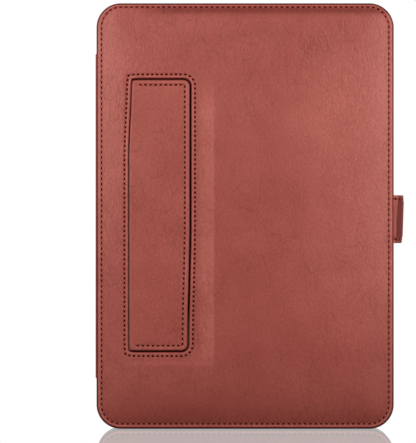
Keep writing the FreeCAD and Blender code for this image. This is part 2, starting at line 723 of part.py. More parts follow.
def make_keyboard_switch():
    """The sliding power switch in the keyboard's short edge, stored at one end of its slot."""
    knob_x = size["knob_at"] - size["knob_travel"] / 2
    inner = keys_foot + size["rim_wall"]
    back = rim_back + (size["rim_depth"] - size["knob_depth"]) / 2
    knob = Piece("keyboard_switch", back, knob_x, inner)
    stem = size["rim_wall"] + size["knob_proud"] + size["knob_play"]
    knob.grow([rectangle(size["knob_wide"], stem, 0, size["knob_play"] - stem / 2)],
              0, size["knob_depth"])
    lip = rectangle(size["knob_wide"] + 2 * size["knob_lip"], size["knob_lip_tall"], 0,
                    size["knob_play"] + size["knob_lip_tall"] / 2)
    knob.grow([lip], 0, size["knob_depth"])


def make_elastic(name, right, up):
    """A band over one corner of the keyboard: across its face, and down two of its sides."""
    loose = size["elastic_depth"]
    band = Piece(name, elastic_front, 0, middle_z)
    outer = rounded(size["board_wide"] + 2 * loose, size["board_tall"] + 2 * loose,
                    size["board_round"] + loose)
    band.grow([outer], 0, front_back - elastic_front)
    band.cut([keys_outline(as_size(0))], loose, size["keys_depth"])
    edge_x, edge_z = size["board_wide"] / 2 * right, size["board_tall"] / 2 * up
    past, near, far = size["elastic_margin"], size["elastic_near"], size["elastic_far"]

    def corner(in_x, in_z):
        return edge_x - in_x * right, edge_z - in_z * up

    strip = polygon([
        corner(-past, near + past), corner(-past, far + past),
        corner(far + past, -past), corner(near + past, -past),
    ])
    beyond = 4 * past
    around = rectangle(size["board_wide"] + 2 * beyond, size["board_tall"] + 2 * beyond)
    band.cut([around, strip], 0, front_back - elastic_front)


# The whole folio -----------------------------------------------------------------------------

make_back_cover()
make_flap()
make_sleeve()
make_spine()
make_front_cover()
make_latch()
make_reader_case()
chassis_at = make_screen()
make_electronics(chassis_at)
make_buttons(chassis_at)
make_keyboard_shell()
make_key_mat()
make_keyboard_insides()
make_keyboard_switch()
for place, (right, up) in {
    "spine_bottom": (-1, -1), "latch_bottom": (1, -1), "latch_top": (1, 1), "spine_top": (-1, 1),
}.items():
    make_elastic("corner_elastic_" + place, right, up)

doc.recompute()

broken = [o.Label for o in doc.Objects if "Invalid" in o.State or "Error" in o.State]
if broken:
    raise RuntimeError("failed to compute: " + ", ".join(broken))
for name, body in parts.items():
    if body.Shape.isNull() or not body.Shape.isValid() or not body.Shape.Solids:
        raise RuntimeError("no valid solid: " + name)

os.makedirs("parts", exist_ok=True)
for name, body in parts.items():
    body.Shape.exportStep(f"parts/{name}.step")
print(len(parts), "sub-parts written")
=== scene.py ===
"""The looks of a leather folio that holds an e-reader and a keyboard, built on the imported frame.

Shapes are worked out in millimetres in the row frame and turned into metres when a mesh is made.
"""

import json
import math
import random

import bmesh
import bpy
import numpy as np
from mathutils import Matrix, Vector, noise

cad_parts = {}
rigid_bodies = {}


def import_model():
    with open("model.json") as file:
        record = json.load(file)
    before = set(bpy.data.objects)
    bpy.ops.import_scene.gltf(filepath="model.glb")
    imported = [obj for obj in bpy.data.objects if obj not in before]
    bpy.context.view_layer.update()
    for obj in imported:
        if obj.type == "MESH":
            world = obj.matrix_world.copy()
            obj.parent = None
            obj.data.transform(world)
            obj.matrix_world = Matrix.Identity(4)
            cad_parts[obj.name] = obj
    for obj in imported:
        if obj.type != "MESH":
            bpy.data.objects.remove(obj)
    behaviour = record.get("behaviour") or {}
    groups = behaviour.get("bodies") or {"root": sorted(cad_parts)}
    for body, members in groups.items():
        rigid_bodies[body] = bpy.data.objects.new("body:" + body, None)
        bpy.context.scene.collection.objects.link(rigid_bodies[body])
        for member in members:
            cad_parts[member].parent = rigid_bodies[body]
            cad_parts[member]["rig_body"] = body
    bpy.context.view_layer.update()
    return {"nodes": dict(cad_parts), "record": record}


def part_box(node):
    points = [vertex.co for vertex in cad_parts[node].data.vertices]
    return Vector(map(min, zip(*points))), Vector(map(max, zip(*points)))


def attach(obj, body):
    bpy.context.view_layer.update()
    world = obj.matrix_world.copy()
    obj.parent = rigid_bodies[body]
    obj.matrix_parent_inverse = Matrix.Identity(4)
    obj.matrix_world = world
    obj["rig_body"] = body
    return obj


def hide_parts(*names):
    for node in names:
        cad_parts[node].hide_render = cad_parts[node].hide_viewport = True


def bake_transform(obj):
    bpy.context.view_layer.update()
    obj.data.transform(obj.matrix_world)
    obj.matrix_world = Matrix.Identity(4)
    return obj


METRE = 0.001
TURN = 2 * math.pi

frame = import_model()
dice = random.Random(7)


def span(node):
    """((x0, x1), (y0, y1), (z0, z1)) of a CAD node, in millimetres."""
    low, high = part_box(node)
    return tuple((a / METRE, b / METRE) for a, b in zip(low, high))


# Places read from the frame ------------------------------------------------------------------

COVER_X, BACK_Y, COVER_Z = span("back_cover_leather")
BACK_LINING_Y = span("back_cover_lining")[1]
FRONT_LINING_Y = span("front_cover_lining")[1]
MIDDLE_X = sum(COVER_X) / 2
MIDDLE_Z = sum(COVER_Z) / 2
COVER_ROUND = 15.0
FLAP_X, _, FLAP_Z = span("flap_leather")
WELL_X, WELL_Y, WELL_Z = span("stand_well")
WELL_WALL = 1.0
STIFFENER_Z = FLAP_Z[0] - 8.5, FLAP_Z[1] + 3
FLAP_ROUND = 3.8
FLAP_SQUARE = (0, 0, 0.7, 0.7)
SLEEVE_OPENING = 161, 236
SEAM = 3.1
STITCH = 3.3


# Camera, light and floor ---------------------------------------------------------------------

# In metres: the width that the view takes in, and the camera's place from the cover's middle
FRAME_WIDE = 0.2554
CAMERA_BACK = 1.6
CAMERA_LEFT = 0.02285
CAMERA_DOWN = 0.00335
SENSOR_WIDE = 36
MIRROR_SHARE = 0.6
WHITE, BLACK = (1, 1, 1), (0, 0, 0)


def add_node(tree, kind, inputs, **settings):
    """A shader node; each input is a number, a vector, a colour or a node's output."""
    node = tree.nodes.new("ShaderNode" + kind)
    for name, value in settings.items():
        setattr(node, name, value)
    for name, value in inputs.items():
        socket = node.inputs[name]
        if isinstance(value, bpy.types.NodeSocket):
            tree.links.new(value, socket)
        elif socket.type == "RGBA":
            socket.default_value = (*value, 1)
        else:
            socket.default_value = value
    return node


def make_camera():
    data = bpy.data.cameras.new("camera")
    data.sensor_fit = "HORIZONTAL"
    data.sensor_width = SENSOR_WIDE
    data.lens = SENSOR_WIDE * CAMERA_BACK / FRAME_WIDE
    data.clip_end = 50
    camera = bpy.data.objects.new("camera", data)
    bpy.context.scene.collection.objects.link(camera)
    face = BACK_Y[0] * METRE
    camera.location = (MIDDLE_X * METRE - CAMERA_LEFT, face - CAMERA_BACK,
                       MIDDLE_Z * METRE - CAMERA_DOWN)
    camera.rotation_euler = (math.pi / 2, 0, 0)
    bpy.context.scene.camera = camera


def area_light(name, place, aim, size, power):
    data = bpy.data.lights.new(name, "AREA")
    data.shape = "RECTANGLE"
    data.size, data.size_y = size
    data.energy = power
    light = bpy.data.objects.new(name, data)
    bpy.context.scene.collection.objects.link(light)
    light.location = place
    light.rotation_euler = (Vector(aim) - Vector(place)).to_track_quat("-Z", "Y").to_euler()


def make_lights():
    """Two close softboxes on the kickstand cover, and a far fill on each of the other sides."""
    softbox, heart = (0.16, 0.36), (0, 0, 0.12)
    area_light("left_softbox", (-0.28, -0.27, 0.3), (-0.06, 0, 0.14), softbox, 1.2)
    area_light("right_softbox", (0.28, -0.27, 0.29), (0.06, 0, 0.14), softbox, 1.28)
    area_light("front_fill", (0.2, 1.3, 0.9), heart, (1.2, 0.9), 14)
    area_light("latch_fill", (1.5, 0.35, 0.5), heart, (0.9, 0.9), 10)
    area_light("spine_fill", (-1.5, 0.35, 0.5), heart, (0.9, 0.9), 10)


def seen_or_lit(tree, kind, dim):
    """An emitter that the camera and mirrors see as white, and that lights as dim does."""
    path = add_node(tree, "LightPath", {}).outputs
    direct = add_node(tree, "Math", {0: path["Is Camera Ray"], 1: path["Is Singular Ray"]},
                      operation="MAXIMUM")
    lit, seen = (add_node(tree, kind, {"Color": WHITE, "Strength": strength}).outputs[0]
                 for strength in (dim, 1.0))
    return add_node(tree, "MixShader", {"Fac": direct.outputs[0], 1: lit, 2: seen}).outputs[0]


def make_world():
    """A white studio: what the camera sees is white, and what lights the object is dimmer."""
    world = bpy.data.worlds.new("studio")
    bpy.context.scene.world = world
    world.use_nodes = True
    tree = world.node_tree
    glow = seen_or_lit(tree, "Background", 0.05)
    tree.links.new(glow, tree.nodes["World Output"].inputs["Surface"])


def make_floor():
    """A white gloss floor that mirrors the object's foot and stays white around it."""
    half = 6.0
    data = bpy.data.meshes.new("floor")
    corners = [(-half, -half, 0), (half, -half, 0), (half, half, 0), (-half, half, 0)]
    data.from_pydata(corners, [], [(0, 1, 2, 3)])
    floor = bpy.data.objects.new("floor", data)
    bpy.context.scene.collection.objects.link(floor)
    material = bpy.data.materials.new("white_gloss_floor")
    material.use_nodes = True
    tree = material.node_tree
    glow = seen_or_lit(tree, "Emission", 0.03)
    gloss = add_node(tree, "BsdfGlossy", {"Color": WHITE, "Roughness": 0.0}).outputs[0]
    mix = add_node(tree, "MixShader", {"Fac": MIRROR_SHARE, 1: glow, 2: gloss})
    tree.links.new(mix.outputs[0], tree.nodes["Material Output"].inputs["Surface"])
    data.materials.append(material)


# Materials -----------------------------------------------------------------------------------


class Shader:
    """A Principled material with helpers for the nodes that vary it."""

    def __init__(self, name, **sockets):
        self.material = bpy.data.materials.new(name)
        self.material.use_nodes = True
        self.tree = self.material.node_tree
        self.main = self.tree.nodes["Principled BSDF"]
        for socket, value in sockets.items():
            self.main.inputs[socket.replace("_", " ")].default_value = value
        self.place = self.add("TexCoord", {}).outputs["Object"]

    def add(self, kind, inputs, **settings):
        return add_node(self.tree, kind, inputs, **settings)

    def stretched(self, scale, turn=(0, 0, 0)):
        inputs = {"Vector": self.place, "Scale": scale, "Rotation": turn}
        return self.add("Mapping", inputs).outputs[0]

    def warped(self, place, scale, reach):
        """Coordinates pushed about by a noise, as far as reach, in metres."""
        cloud = self.add("TexNoise", {"Vector": place, "Scale": scale}).outputs["Color"]
        inputs = {0: cloud, 1: (reach, reach, reach), 2: place}
        return self.add("VectorMath", inputs, operation="MULTIPLY_ADD").outputs[0]

    def noise(self, scale, detail=2.0, roughness=0.5, place=None):
        inputs = {"Vector": place or self.place, "Scale": scale, "Detail": detail,
                  "Roughness": roughness}
        return self.add("TexNoise", inputs).outputs["Fac"]

    def cells(self, scale, feature="F1", place=None):
        inputs = {"Vector": place or self.place, "Scale": scale}
        return self.add("TexVoronoi", inputs, feature=feature).outputs["Distance"]

    def waves(self, scale, direction, place=None):
        inputs = {"Vector": place or self.place, "Scale": scale}
        return self.add("TexWave", inputs, bands_direction=direction).outputs["Fac"]

    def attribute(self, name):
        return self.add("Attribute", {}, attribute_name=name).outputs["Fac"]

    def ramp(self, factor, stops):
        node = self.add("ValToRGB", {"Fac": factor})
        elements = node.color_ramp.elements
        while len(elements) < len(stops):
            elements.new(0.5)
        for element, (at, colour) in zip(elements, stops):
            element.position = at
            element.color = (*colour, 1)
        return node.outputs["Color"]

    def maths(self, kind, a, b):
        return self.add("Math", {0: a, 1: b}, operation=kind).outputs[0]

    def blend(self, kind, factor, a, b):
        inputs = {"Factor": factor, 6: a, 7: b}
        return self.add("Mix", inputs, data_type="RGBA", blend_type=kind).outputs[2]

    def colour(self, output):
        self.tree.links.new(output, self.main.inputs["Base Color"])

    def rough(self, factor, low, high):
        node = self.add("MapRange", {"Value": factor, "To Min": low, "To Max": high})
        self.tree.links.new(node.outputs[0], self.main.inputs["Roughness"])

    def bump(self, height, distance, strength=1.0, under=None):
        inputs = {"Height": height, "Distance": distance, "Strength": strength}
        if under is not None:
            inputs["Normal"] = under
        normal = self.add("Bump", inputs).outputs[0]
        self.tree.links.new(normal, self.main.inputs["Normal"])
        return normal


def leather(name, tint, light, dark):
    """Glazed leather: soft mottling, fine pores and creases. The paint attribute carries painted
    light and shade. Above 0 it is a painted highlight or sheen on welts and on faces turned to the
    lamps.
    Below 0 it is painted shade in seams, gaps and hollows, on turns and on slopes turned from the
    lamps;
    on the rolled edges that dark is partly their darker edge colour as well."""
    s = Shader(name, Specular_IOR_Level=0.6, Specular_Tint=(1, 0.76, 0.7, 1),
               Coat_Weight=0.03, Coat_Roughness=0.5)
    mottle = s.noise(30, 5, 0.62)
    base = s.ramp(mottle, [(0.3, dark), (0.52, tint), (0.75, light)])
    grain = s.noise(1000, 3, 0.75, s.stretched((1, 1, 0.6), (0, 0.6, 0)))
    ground = s.ramp(grain, [(0.38, (0.55, 0.45, 0.42)), (0.6, WHITE)])
    base = s.blend("MULTIPLY", 0.5, base, ground)
    slanted = s.warped(s.stretched((1, 1, 0.45), (0, 0.65, 0)), 60, 0.012)
    lines = s.ramp(s.cells(120, "DISTANCE_TO_EDGE", slanted), [(0.0, WHITE), (0.05, BLACK)])
    patches = s.ramp(s.noise(24, 2), [(0.46, BLACK), (0.62, WHITE)])
    creases = s.maths("MULTIPLY", lines, patches)
    base = s.blend("MULTIPLY", s.maths("MULTIPLY", creases, 0.3), base, (0.5, 0.36, 0.33))
    pores = s.cells(1300, place=s.stretched((1, 1, 1.25)))
    base = s.blend("MULTIPLY", 0.25, base, s.ramp(pores, [(0.0, (0.3,) * 3), (0.5, WHITE)]))
    paint = s.maths("ADD", s.attribute("paint"), 0.5)
    # seam turns the paint into colour: painted shade darkens and deepens the red below 0.5, painted
    # highlight and sheen lighten and whiten it above 0.5
    seam = s.ramp(paint, [(0.0, (0.26, 0.04, 0.03)), (0.25, (0.56, 0.3, 0.24)), (0.5, WHITE),
                          (1.0, (1.7, 2.5, 2.75))])
    s.colour(s.blend("MULTIPLY", 1.0, base, seam))
    dull = s.maths("MAXIMUM", s.maths("SUBTRACT", 0.5, paint), 0.0)
    cloud = s.maths("MULTIPLY", s.noise(60, 3), 0.14)
    s.rough(s.maths("ADD", cloud, dull), 0.34, 1.34)
    folds = s.noise(75, 5, 0.62, s.stretched((1, 1, 0.4), (0, 0.7, 0)))
    slack = s.bump(folds, 0.0009, 0.4)
    wrinkles = s.noise(420, 4, 0.7, s.stretched((1, 1, 0.5), (0, 0.6, 0)))
    wrinkle = s.bump(wrinkles, 0.00045, 0.6, slack)
    cracked = s.bump(s.maths("SUBTRACT", 1.0, creases), 0.0002, 0.5, wrinkle)
    s.bump(grain, 0.00035, 0.9, cracked)
    return s.material


def fibre(name, tint, dark):
    """Brushed microfibre lining."""
    s = Shader(name, Roughness=0.92, Sheen_Weight=0.35, Sheen_Roughness=0.5)
    nap = s.noise(2400, 2, 0.7, s.stretched((1, 1, 0.5)))
    cloud = s.noise(40, 3)
    s.colour(s.blend("MULTIPLY", 0.35, s.ramp(cloud, [(0.35, dark), (0.65, tint)]),
                     s.ramp(nap, [(0.3, (0.55,) * 3), (0.7, WHITE)])))
    s.bump(nap, 0.0002, 0.6)
    return s.material


def plastic(name, tint, roughness, grain=0.0, speck=0.06, shine=0.5):
    """Moulded plastic with a spark-eroded texture as deep as grain, in metres."""
    s = Shader(name, Roughness=roughness, Specular_IOR_Level=shine)
    cloud = s.noise(55, 4)
    tone_shift = tuple(c * (1 - speck) for c in tint)
    s.colour(s.ramp(cloud, [(0.35, tone_shift), (0.65, tint)]))
    s.rough(s.noise(180, 3), roughness * 0.88, roughness * 1.1)
    s.bump(s.cells(2600), max(grain, 0.00001), 0.5)
    return s.material


def metal(name, tint, roughness, brushed=(1, 1, 1)):
    s = Shader(name, Metallic=1.0, Roughness=roughness)
    lines = s.noise(900, 2, 0.5, s.stretched(brushed))
    s.colour(s.ramp(lines, [(0.3, tuple(c * 0.8 for c in tint)), (0.7, tint)]))
    s.rough(lines, roughness * 0.8, roughness * 1.25)
    s.bump(lines, 0.00002, 0.4)
    return s.material


def woven_elastic(name, tint):
    """Ribbed elastic: ribs along the band and fine picks across it, read from its own UVs."""
    s = Shader(name, Roughness=0.75, Sheen_Weight=0.3)
    flat = s.add("UVMap", {}).outputs[0]
    ribs = s.waves(0.27, "Y", flat)
    picks = s.waves(0.6, "X", flat)
    weave = s.maths("MULTIPLY", ribs, s.maths("ADD", s.maths("MULTIPLY", picks, 0.5), 0.5))
    s.colour(s.ramp(weave, [(0.1, tuple(c * 0.35 for c in tint)), (0.8, tint)]))
    s.bump(weave, 0.00025, 0.8)
    return s.material


def thread(name, tint):
    s = Shader(name, Roughness=0.7, Specular_IOR_Level=0.2, Sheen_Weight=0.05)
    twist = s.waves(900, "DIAGONAL")
    s.colour(s.ramp(twist, [(0.0, tuple(c * 0.55 for c in tint)), (0.7, tint)]))
    s.bump(twist, 0.0001, 0.6)
    return s.material


def plain(name, tint, roughness, shine=0.5):
    s = Shader(name, Roughness=roughness, Specular_IOR_Level=shine)
    s.colour(s.ramp(s.noise(300, 3), [(0.3, tuple(c * 0.85 for c in tint)), (0.7, tint)]))
    return s.material


def screen_glass(name):
    s = Shader(name, Roughness=0.22, IOR=1.5, Alpha=0.1)
    s.rough(s.noise(700, 2), 0.18, 0.28)
    return s.material


def clear(name, shown):
    s = Shader(name, Roughness=0.15, Alpha=shown)
    s.colour(s.ramp(s.noise(90, 2), [(0.3, (0.72, 0.74, 0.73)), (0.7, (0.8, 0.82, 0.81))]))
    return s.material


def epaper(name):
    """Electrophoretic panel at rest: a warm light grey with a faint grain and old-image cloud."""
    s = Shader(name, Roughness=0.8)
    grain = s.noise(5200, 2, 0.8)
    cloud = s.noise(16, 4, 0.6)
    base = s.ramp(cloud, [(0.35, (0.5, 0.5, 0.475)), (0.65, (0.56, 0.56, 0.535))])
    s.colour(s.blend("MULTIPLY", 0.3, base, s.ramp(grain, [(0.3, (0.7,) * 3), (0.7, WHITE)])))
    return s.material


def circuit(name, tint):
    """Solder mask with a faint maze of tracks under it."""
    s = Shader(name, Roughness=0.35)
    tracks = s.cells(260, "DISTANCE_TO_EDGE")
    lit = tuple(min(1, c * 1.9 + 0.02) for c in tint)
    s.colour(s.ramp(tracks, [(0.04, lit), (0.09, tint)]))
    return s.material


RED = (0.375, 0.073, 0.053)
RED_LIGHT = (0.41, 0.087, 0.064)
RED_DARK = (0.335, 0.059, 0.041)

MATERIALS = {
    "leather_brown": leather("glazed_leather", RED, RED_LIGHT, RED_DARK),
    "lining_grey": fibre("grey_microfibre", (0.5, 0.455, 0.42), (0.45, 0.41, 0.378)),
    "padding_foam": plain("open_cell_foam", (0.72, 0.7, 0.62), 0.95),
    "stiffener_board": plain("grey_board", (0.36, 0.32, 0.27), 0.9),
    "elastic_black": woven_elastic("black_elastic", (0.035, 0.03, 0.032)),
    "case_white": plastic("white_shell", (0.83, 0.825, 0.81), 0.34, 0.000015, 0.03),
    "housing_dark": plastic("dark_rear_shell", (0.036, 0.035, 0.03), 0.48, 0.00003, shine=0.35),
    "keyboard_black": plastic("black_shell", (0.009, 0.008, 0.009), 0.4, 0.00003, shine=0.25),
    "key_rubber": plastic("key_silicone", (0.06, 0.06, 0.064), 0.5, 0.00004),
    "screen_glass": screen_glass("matte_screen_glass"),
    "guide_clear": clear("light_guide_acrylic", 0.12),
    "epaper_grey": epaper("epaper_at_rest"),
    "chassis_metal": metal("cast_chassis", (0.55, 0.55, 0.56), 0.45),
    "cell_wrap": plastic("battery_pouch", (0.09, 0.09, 0.1), 0.4),
    "circuit_green": circuit("solder_mask", (0.012, 0.11, 0.05)),
    "flex_amber": plastic("polyimide_film", (0.42, 0.19, 0.03), 0.3),
    "steel_plain": metal("plain_steel", (0.55, 0.55, 0.55), 0.3, (1, 1, 30)),
    "magnet_nickel": metal("nickel_plate", (0.68, 0.66, 0.62), 0.2),
}
THREAD = thread("red_thread", (0.5, 0.125, 0.095))
GREY_THREAD = thread("grey_thread", (0.45, 0.4, 0.37))
# Needle holes are dark, glossless caps on the seam: painted shade for the shadow down each hole
NEEDLE_HOLE_SHADE = plain("needle_hole_shade", (0.065, 0.004, 0.002), 0.9, 0.0)


# Mesh helpers --------------------------------------------------------------------------------


def mesh_object(name, points, faces, slot, material=None, sharp=None, paint=None):
    """A smooth mesh from points in millimetres, finished with its material slot."""
    data = bpy.data.meshes.new(name)
    data.from_pydata((np.asarray(points, float) * METRE).tolist(), [], faces)
    data.validate()
    data.polygons.foreach_set("use_smooth", [True] * len(data.polygons))
    if sharp is not None:
        data.set_sharp_from_angle(angle=math.radians(sharp))
    if paint is not None:
        layer = data.attributes.new("paint", "FLOAT", "POINT")
        layer.data.foreach_set("value", np.asarray(paint, np.float32))
    data.materials.append(material or MATERIALS[slot])
    obj = bpy.data.objects.new(name, data)
    bpy.context.scene.collection.objects.link(obj)
    return obj


def finish_piece(obj, body, *nodes):
    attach(obj, body)
    if nodes:
        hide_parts(*nodes)
    return obj


class Outline:
    """Samples round a rounded rectangle: each has a base on the inner rectangle and a normal."""

    def __init__(self, x, z, radius, across, up, bend, square=(0, 0, 0, 0)):
        """square pulls the corners out, from 0 for round to 1 for square, in the order
        low right, high right, high left, low left."""
        self.radius, self.square = radius, square
        x0, x1, z0, z1 = x[0] + radius, x[1] - radius, z[0] + radius, z[1] - radius
        self.inner = x0, x1, z0, z1
        self.xs, self.zs = np.linspace(x0, x1, across + 1), np.linspace(z0, z1, up + 1)
        corners = [(x1, z0, -1), (x1, z1, 0), (x0, z1, 1), (x0, z0, 2)]
        cells = [(across, 0), (across, up), (0, up), (0, 0)]
        sides = [
            [((x1, z), (1, 0), (across, j)) for j, z in enumerate(self.zs)],
            [((a, z1), (0, 1), (i, up)) for i, a in enumerate(self.xs)][::-1],
            [((x0, z), (-1, 0), (0, j)) for j, z in enumerate(self.zs)][::-1],
            [((a, z0), (0, -1), (i, 0)) for i, a in enumerate(self.xs)],
        ]
        base, normal, cell = [], [], []
        for (cx, cz, start), spot, side, pull in zip(corners, cells, sides, square):
            for step in range(bend + 1):
                angle = TURN / 4 * (start + step / bend)
                way = math.cos(angle), math.sin(angle)
                reach = max(abs(way[0]), abs(way[1])) ** -pull
                base.append((cx, cz))
                normal.append((way[0] * reach, way[1] * reach))
                cell.append(spot)
            for point, way, where in side[1:-1]:
                base.append(point)
                normal.append(way)
                cell.append(where)
        self.base, self.normal, self.cell = np.array(base), np.array(normal), cell

    def ring(self, inset):
        """The x, z points at a distance inside the outline."""
        return self.base + self.normal * (self.radius - inset)

    def depth_in(self, x, z):
        """How far inside the outline points of the inner rectangle lie."""
        x0, x1, z0, z1 = self.inner
        return self.radius + np.minimum(np.minimum(x - x0, x1 - x), np.minimum(z - z0, z1 - z))

    def __len__(self):
        return len(self.base)


def at_depth(ring, y):
    return np.column_stack([ring[:, 0], np.broadcast_to(y, len(ring)), ring[:, 1]])


def bridge(count, first, second, flip=False):
    """Quads between two closed rings of points whose first indices are given."""
    quads = []
    for i in range(count):
        j = (i + 1) % count
        quad = (first + i, first + j, second + j, second + i)
        quads.append(quad[::-1] if flip else quad)
    return quads


def grid_faces(outline, start=0, flip=False, gap=(0, 0, 0, 0)):
    """Quads over an outline's inner grid of points, but for a gap of cells i0, i1, j0, j1."""
    rows = len(outline.zs)
    i0, i1, j0, j1 = gap
    faces = []
    for i in range(len(outline.xs) - 1):
        for j in range(rows - 1):
            if not (i0 <= i < i1 and j0 <= j < j1):
                a = start + i * rows + j
                quad = (a, a + rows, a + rows + 1, a + 1)
                faces.append(quad[::-1] if flip else quad)
    return faces


def border_faces(outline, start, ring, flip=False, fans=True):
    """Faces from the border of an outline's grid to the ring of points round it."""
    rows, count = len(outline.zs), len(outline)
    faces = []
    for k in range(count):
        n = (k + 1) % count
        a, b = (start + i * rows + j for i, j in (outline.cell[k], outline.cell[n]))
        face = (a, ring + k, ring + n, b) if a != b else (a, ring + k, ring + n)
        if fans or a != b:
            faces.append(face[::-1] if flip else face)
    return faces


def loft(name, rings, slot, flip=False, close=False, sharp=40, paint=None):
    """A skin through rings of equal length; close joins the last ring to the first."""
    count = len(rings[0])
    faces = []
    for k in range(len(rings) - 1 + close):
        faces += bridge(count, k * count, (k + 1) % len(rings) * count, flip)
    if not close:
        low = list(range(count))
        high = [(len(rings) - 1) * count + i for i in range(count)]
        faces += [low[::-1] if not flip else low, high if not flip else high[::-1]]
    return mesh_object(name, np.vstack(rings), faces, slot, None, sharp, paint)


def edge_arc(y0, y1, edge, steps=4):
    """(inset, y) from the middle of one face's edge round to the other's, for a soft edge."""
    arc = []
    for k in range(steps + 1):
        a = TURN / 4 * k / steps
        arc.append((edge * (1 - math.sin(a)), y0 + edge * (1 - math.cos(a))))
    for k in range(steps + 1):
        a = TURN / 4 * k / steps
        arc.append((edge * (1 - math.cos(a)), y1 - edge * (1 - math.sin(a))))
    return arc


def slab(name, x, y, z, radius, edge, slot, samples=(2, 2, 8)):
    """A plate with round corners and softly rounded edges."""
    shape = Outline(x, z, radius, *samples)
    rings = [at_depth(shape.ring(inset), depth) for inset, depth in edge_arc(*y, edge)]
    return loft(name, rings, slot, sharp=50)


def ring_plate(name, outer, inner, y, edge, slot):
    """A frame-shaped plate with softly rounded edges outside and in the opening."""
    rings = [at_depth(outer.ring(inset), depth) for inset, depth in edge_arc(*y, edge)]
    hole = [at_depth(inner.ring(-inset), depth) for inset, depth in edge_arc(*y, edge)]
    rings += hole[::-1]
    return loft(name, rings, slot, close=True, sharp=50)


# Padded covers -------------------------------------------------------------------------------

# Grid steps of a cover: across, up and round each corner
ACROSS, UP, BEND = 184, 280, 24
EDGE_HIGH = 1.95


def pillow(d, x, z, rise, bulge):
    """Height of a padded cover above its lining, d inside its edge."""
    pad = rise * (1 - np.exp(-(np.maximum(d - SEAM, 0) / 9.5) ** 1.2))
    across = 1 - ((x - MIDDLE_X) / (COVER_X[1] - MIDDLE_X)) ** 2
    along = 1 - ((z - MIDDLE_Z) / (COVER_Z[1] - MIDDLE_Z)) ** 2
    return EDGE_HIGH + pad + bulge * np.sqrt(np.clip(across * along, 0, 1))


def ripple(x, z, seed):
    """Soft unevenness of hand-laid leather, and a few long slack creases across the middle."""
    out = np.empty(np.shape(x))
    flat_x, flat_z, flat = np.ravel(x), np.ravel(z), out.reshape(-1)
    for k in range(len(flat)):
        a, b = flat_x[k], flat_z[k]
        broad = noise.noise(Vector((a / 34, b / 40, seed)))
        slack = noise.noise(Vector(((a + b * 0.62) / 13, (b - a) / 110, seed + 5)))
        flat[k] = 0.07 * broad + 0.05 * slack
    return out


def hump(distance, wide):
    return np.exp(-(distance / wide) ** 2)


def gate(value, low, high):
    t = np.clip((value - low) / (high - low), 0, 1)
    return t * t * (3 - 2 * t)


def sway(x, z):
    """How far the flap and its frame have drawn out of true, towards the right."""
    middle = (FLAP_X[0] + FLAP_X[1]) / 2
    hinge = 1.7 * gate(z, 165, 217) * gate(-x, -middle, -FLAP_X[0] - 4)
    free = 1.4 * gate(-z, -130, -50) * gate(x, middle, FLAP_X[1] - 4)
    return hinge - free


class Cover:
    """One padded cover: its outline, and the height of its outer face over the lining."""

    def __init__(self, lining_y, outward, rise, bulge, seed, ridge):
        self.outline = Outline(COVER_X, COVER_Z, COVER_ROUND, ACROSS, UP, BEND)
        self.base, self.outward = lining_y, outward
        self.rise, self.bulge, self.seed, self.ridge = rise, bulge, seed, ridge

    def height(self, x, z, d):
        x, z = np.asarray(x, float), np.asarray(z, float)
        h = pillow(d, x, z, self.rise, self.bulge)
        h += ripple(x, z, self.seed) * gate(d, 4, 14)
        if self.ridge:
            h += self.stiffener_edge(x, z)
        return h

    @staticmethod
    def stiffener_edge(x, z):
        """The flap's stiffener shows through the leather beside and below the flap."""
        right, (low, high) = FLAP_X[1] + 12.5, STIFFENER_Z
        side = gate(x, right - 11, right - 3) * gate(-x, -right - 3.5, -right)
        beside = side * gate(z, low - 2, low + 3) * gate(-z, -high - 4, -high + 22)
        below = hump(z - low, 1.7) * gate(x, FLAP_X[0] - 4, FLAP_X[0] + 6)
        below = below * gate(-x, -right - 2, -right + 1)
        return np.maximum(0.5 * beside, 0.3 * below)

    def y(self, x, z, d):
        return self.base + self.outward * self.height(x, z, d)

    def over(self, ring):
        """Where the outer face is at the x, z points of a ring."""
        x, z = ring[:, 0], ring[:, 1]
        return self.y(x, z, self.outline.depth_in(x, z))

    def painted_shading(self, x, z):
        """Painted light and shade on the back cover, none on the front: painted shade darker
        towards the foot and in a band just under the top seam, painted sheen paler beside the
        flap's stiffener and over the upper parts of both long sides, and a painted highlight along
        the stiffener's edge below the flap.
        """
        if not self.ridge:
            return np.zeros(np.shape(x))
        down, up = COVER_Z[1] - z, z - COVER_Z[0]
        foot = -0.21 * np.exp(-(np.maximum(up - 2, 0) / 20) ** 1.3)
        head = -0.25 * hump(down - 4.4, 2.6) * gate(x, COVER_X[0] + 18, COVER_X[0] + 50)
        right, (low, high) = FLAP_X[1] + 15, STIFFENER_Z
        pale = 0.15 * gate(x, right - 10.5, right - 5.5) * gate(-x, -right - 0.7, -right + 0.8)
        pale = pale * gate(z, low - 2, low + 6) * gate(-z, -high - 2, -high + 24)
        ridge = 0.1 * hump(z - low, 1.8) * gate(x, FLAP_X[0] - 4, FLAP_X[0] + 6)
        # Painted sheen: paler over the right side and along the left edge, in their middle and
        # upper parts
        tone_shift = 0.1 * gate(x, 12, 50) * gate(z, 30, 110) * gate(-z, -245, -195)
        tone_shift += 0.07 * gate(-x, 68, 80) * gate(z, 80, 150) * gate(-z, -250, -215)
        return foot + head + pale + tone_shift + ridge * gate(-x, -right - 2, -right + 1)


BACK = Cover(BACK_LINING_Y[0], -1, 2.35, 0.85, 3.0, True)
FRONT = Cover(FRONT_LINING_Y[1], 1, 1.25, 0.55, 11.0, False)


def hem_ring(shape, inset):
    """A ring of the cover: its seam runs nearer to the edge along the top."""
    ring = shape.ring(inset)
    top = gate(ring[:, 1], COVER_Z[1] - 9, COVER_Z[1] - 4)
    ring[:, 1] += 0.7 * top * hump(inset - SEAM, 1.5)
    return ring


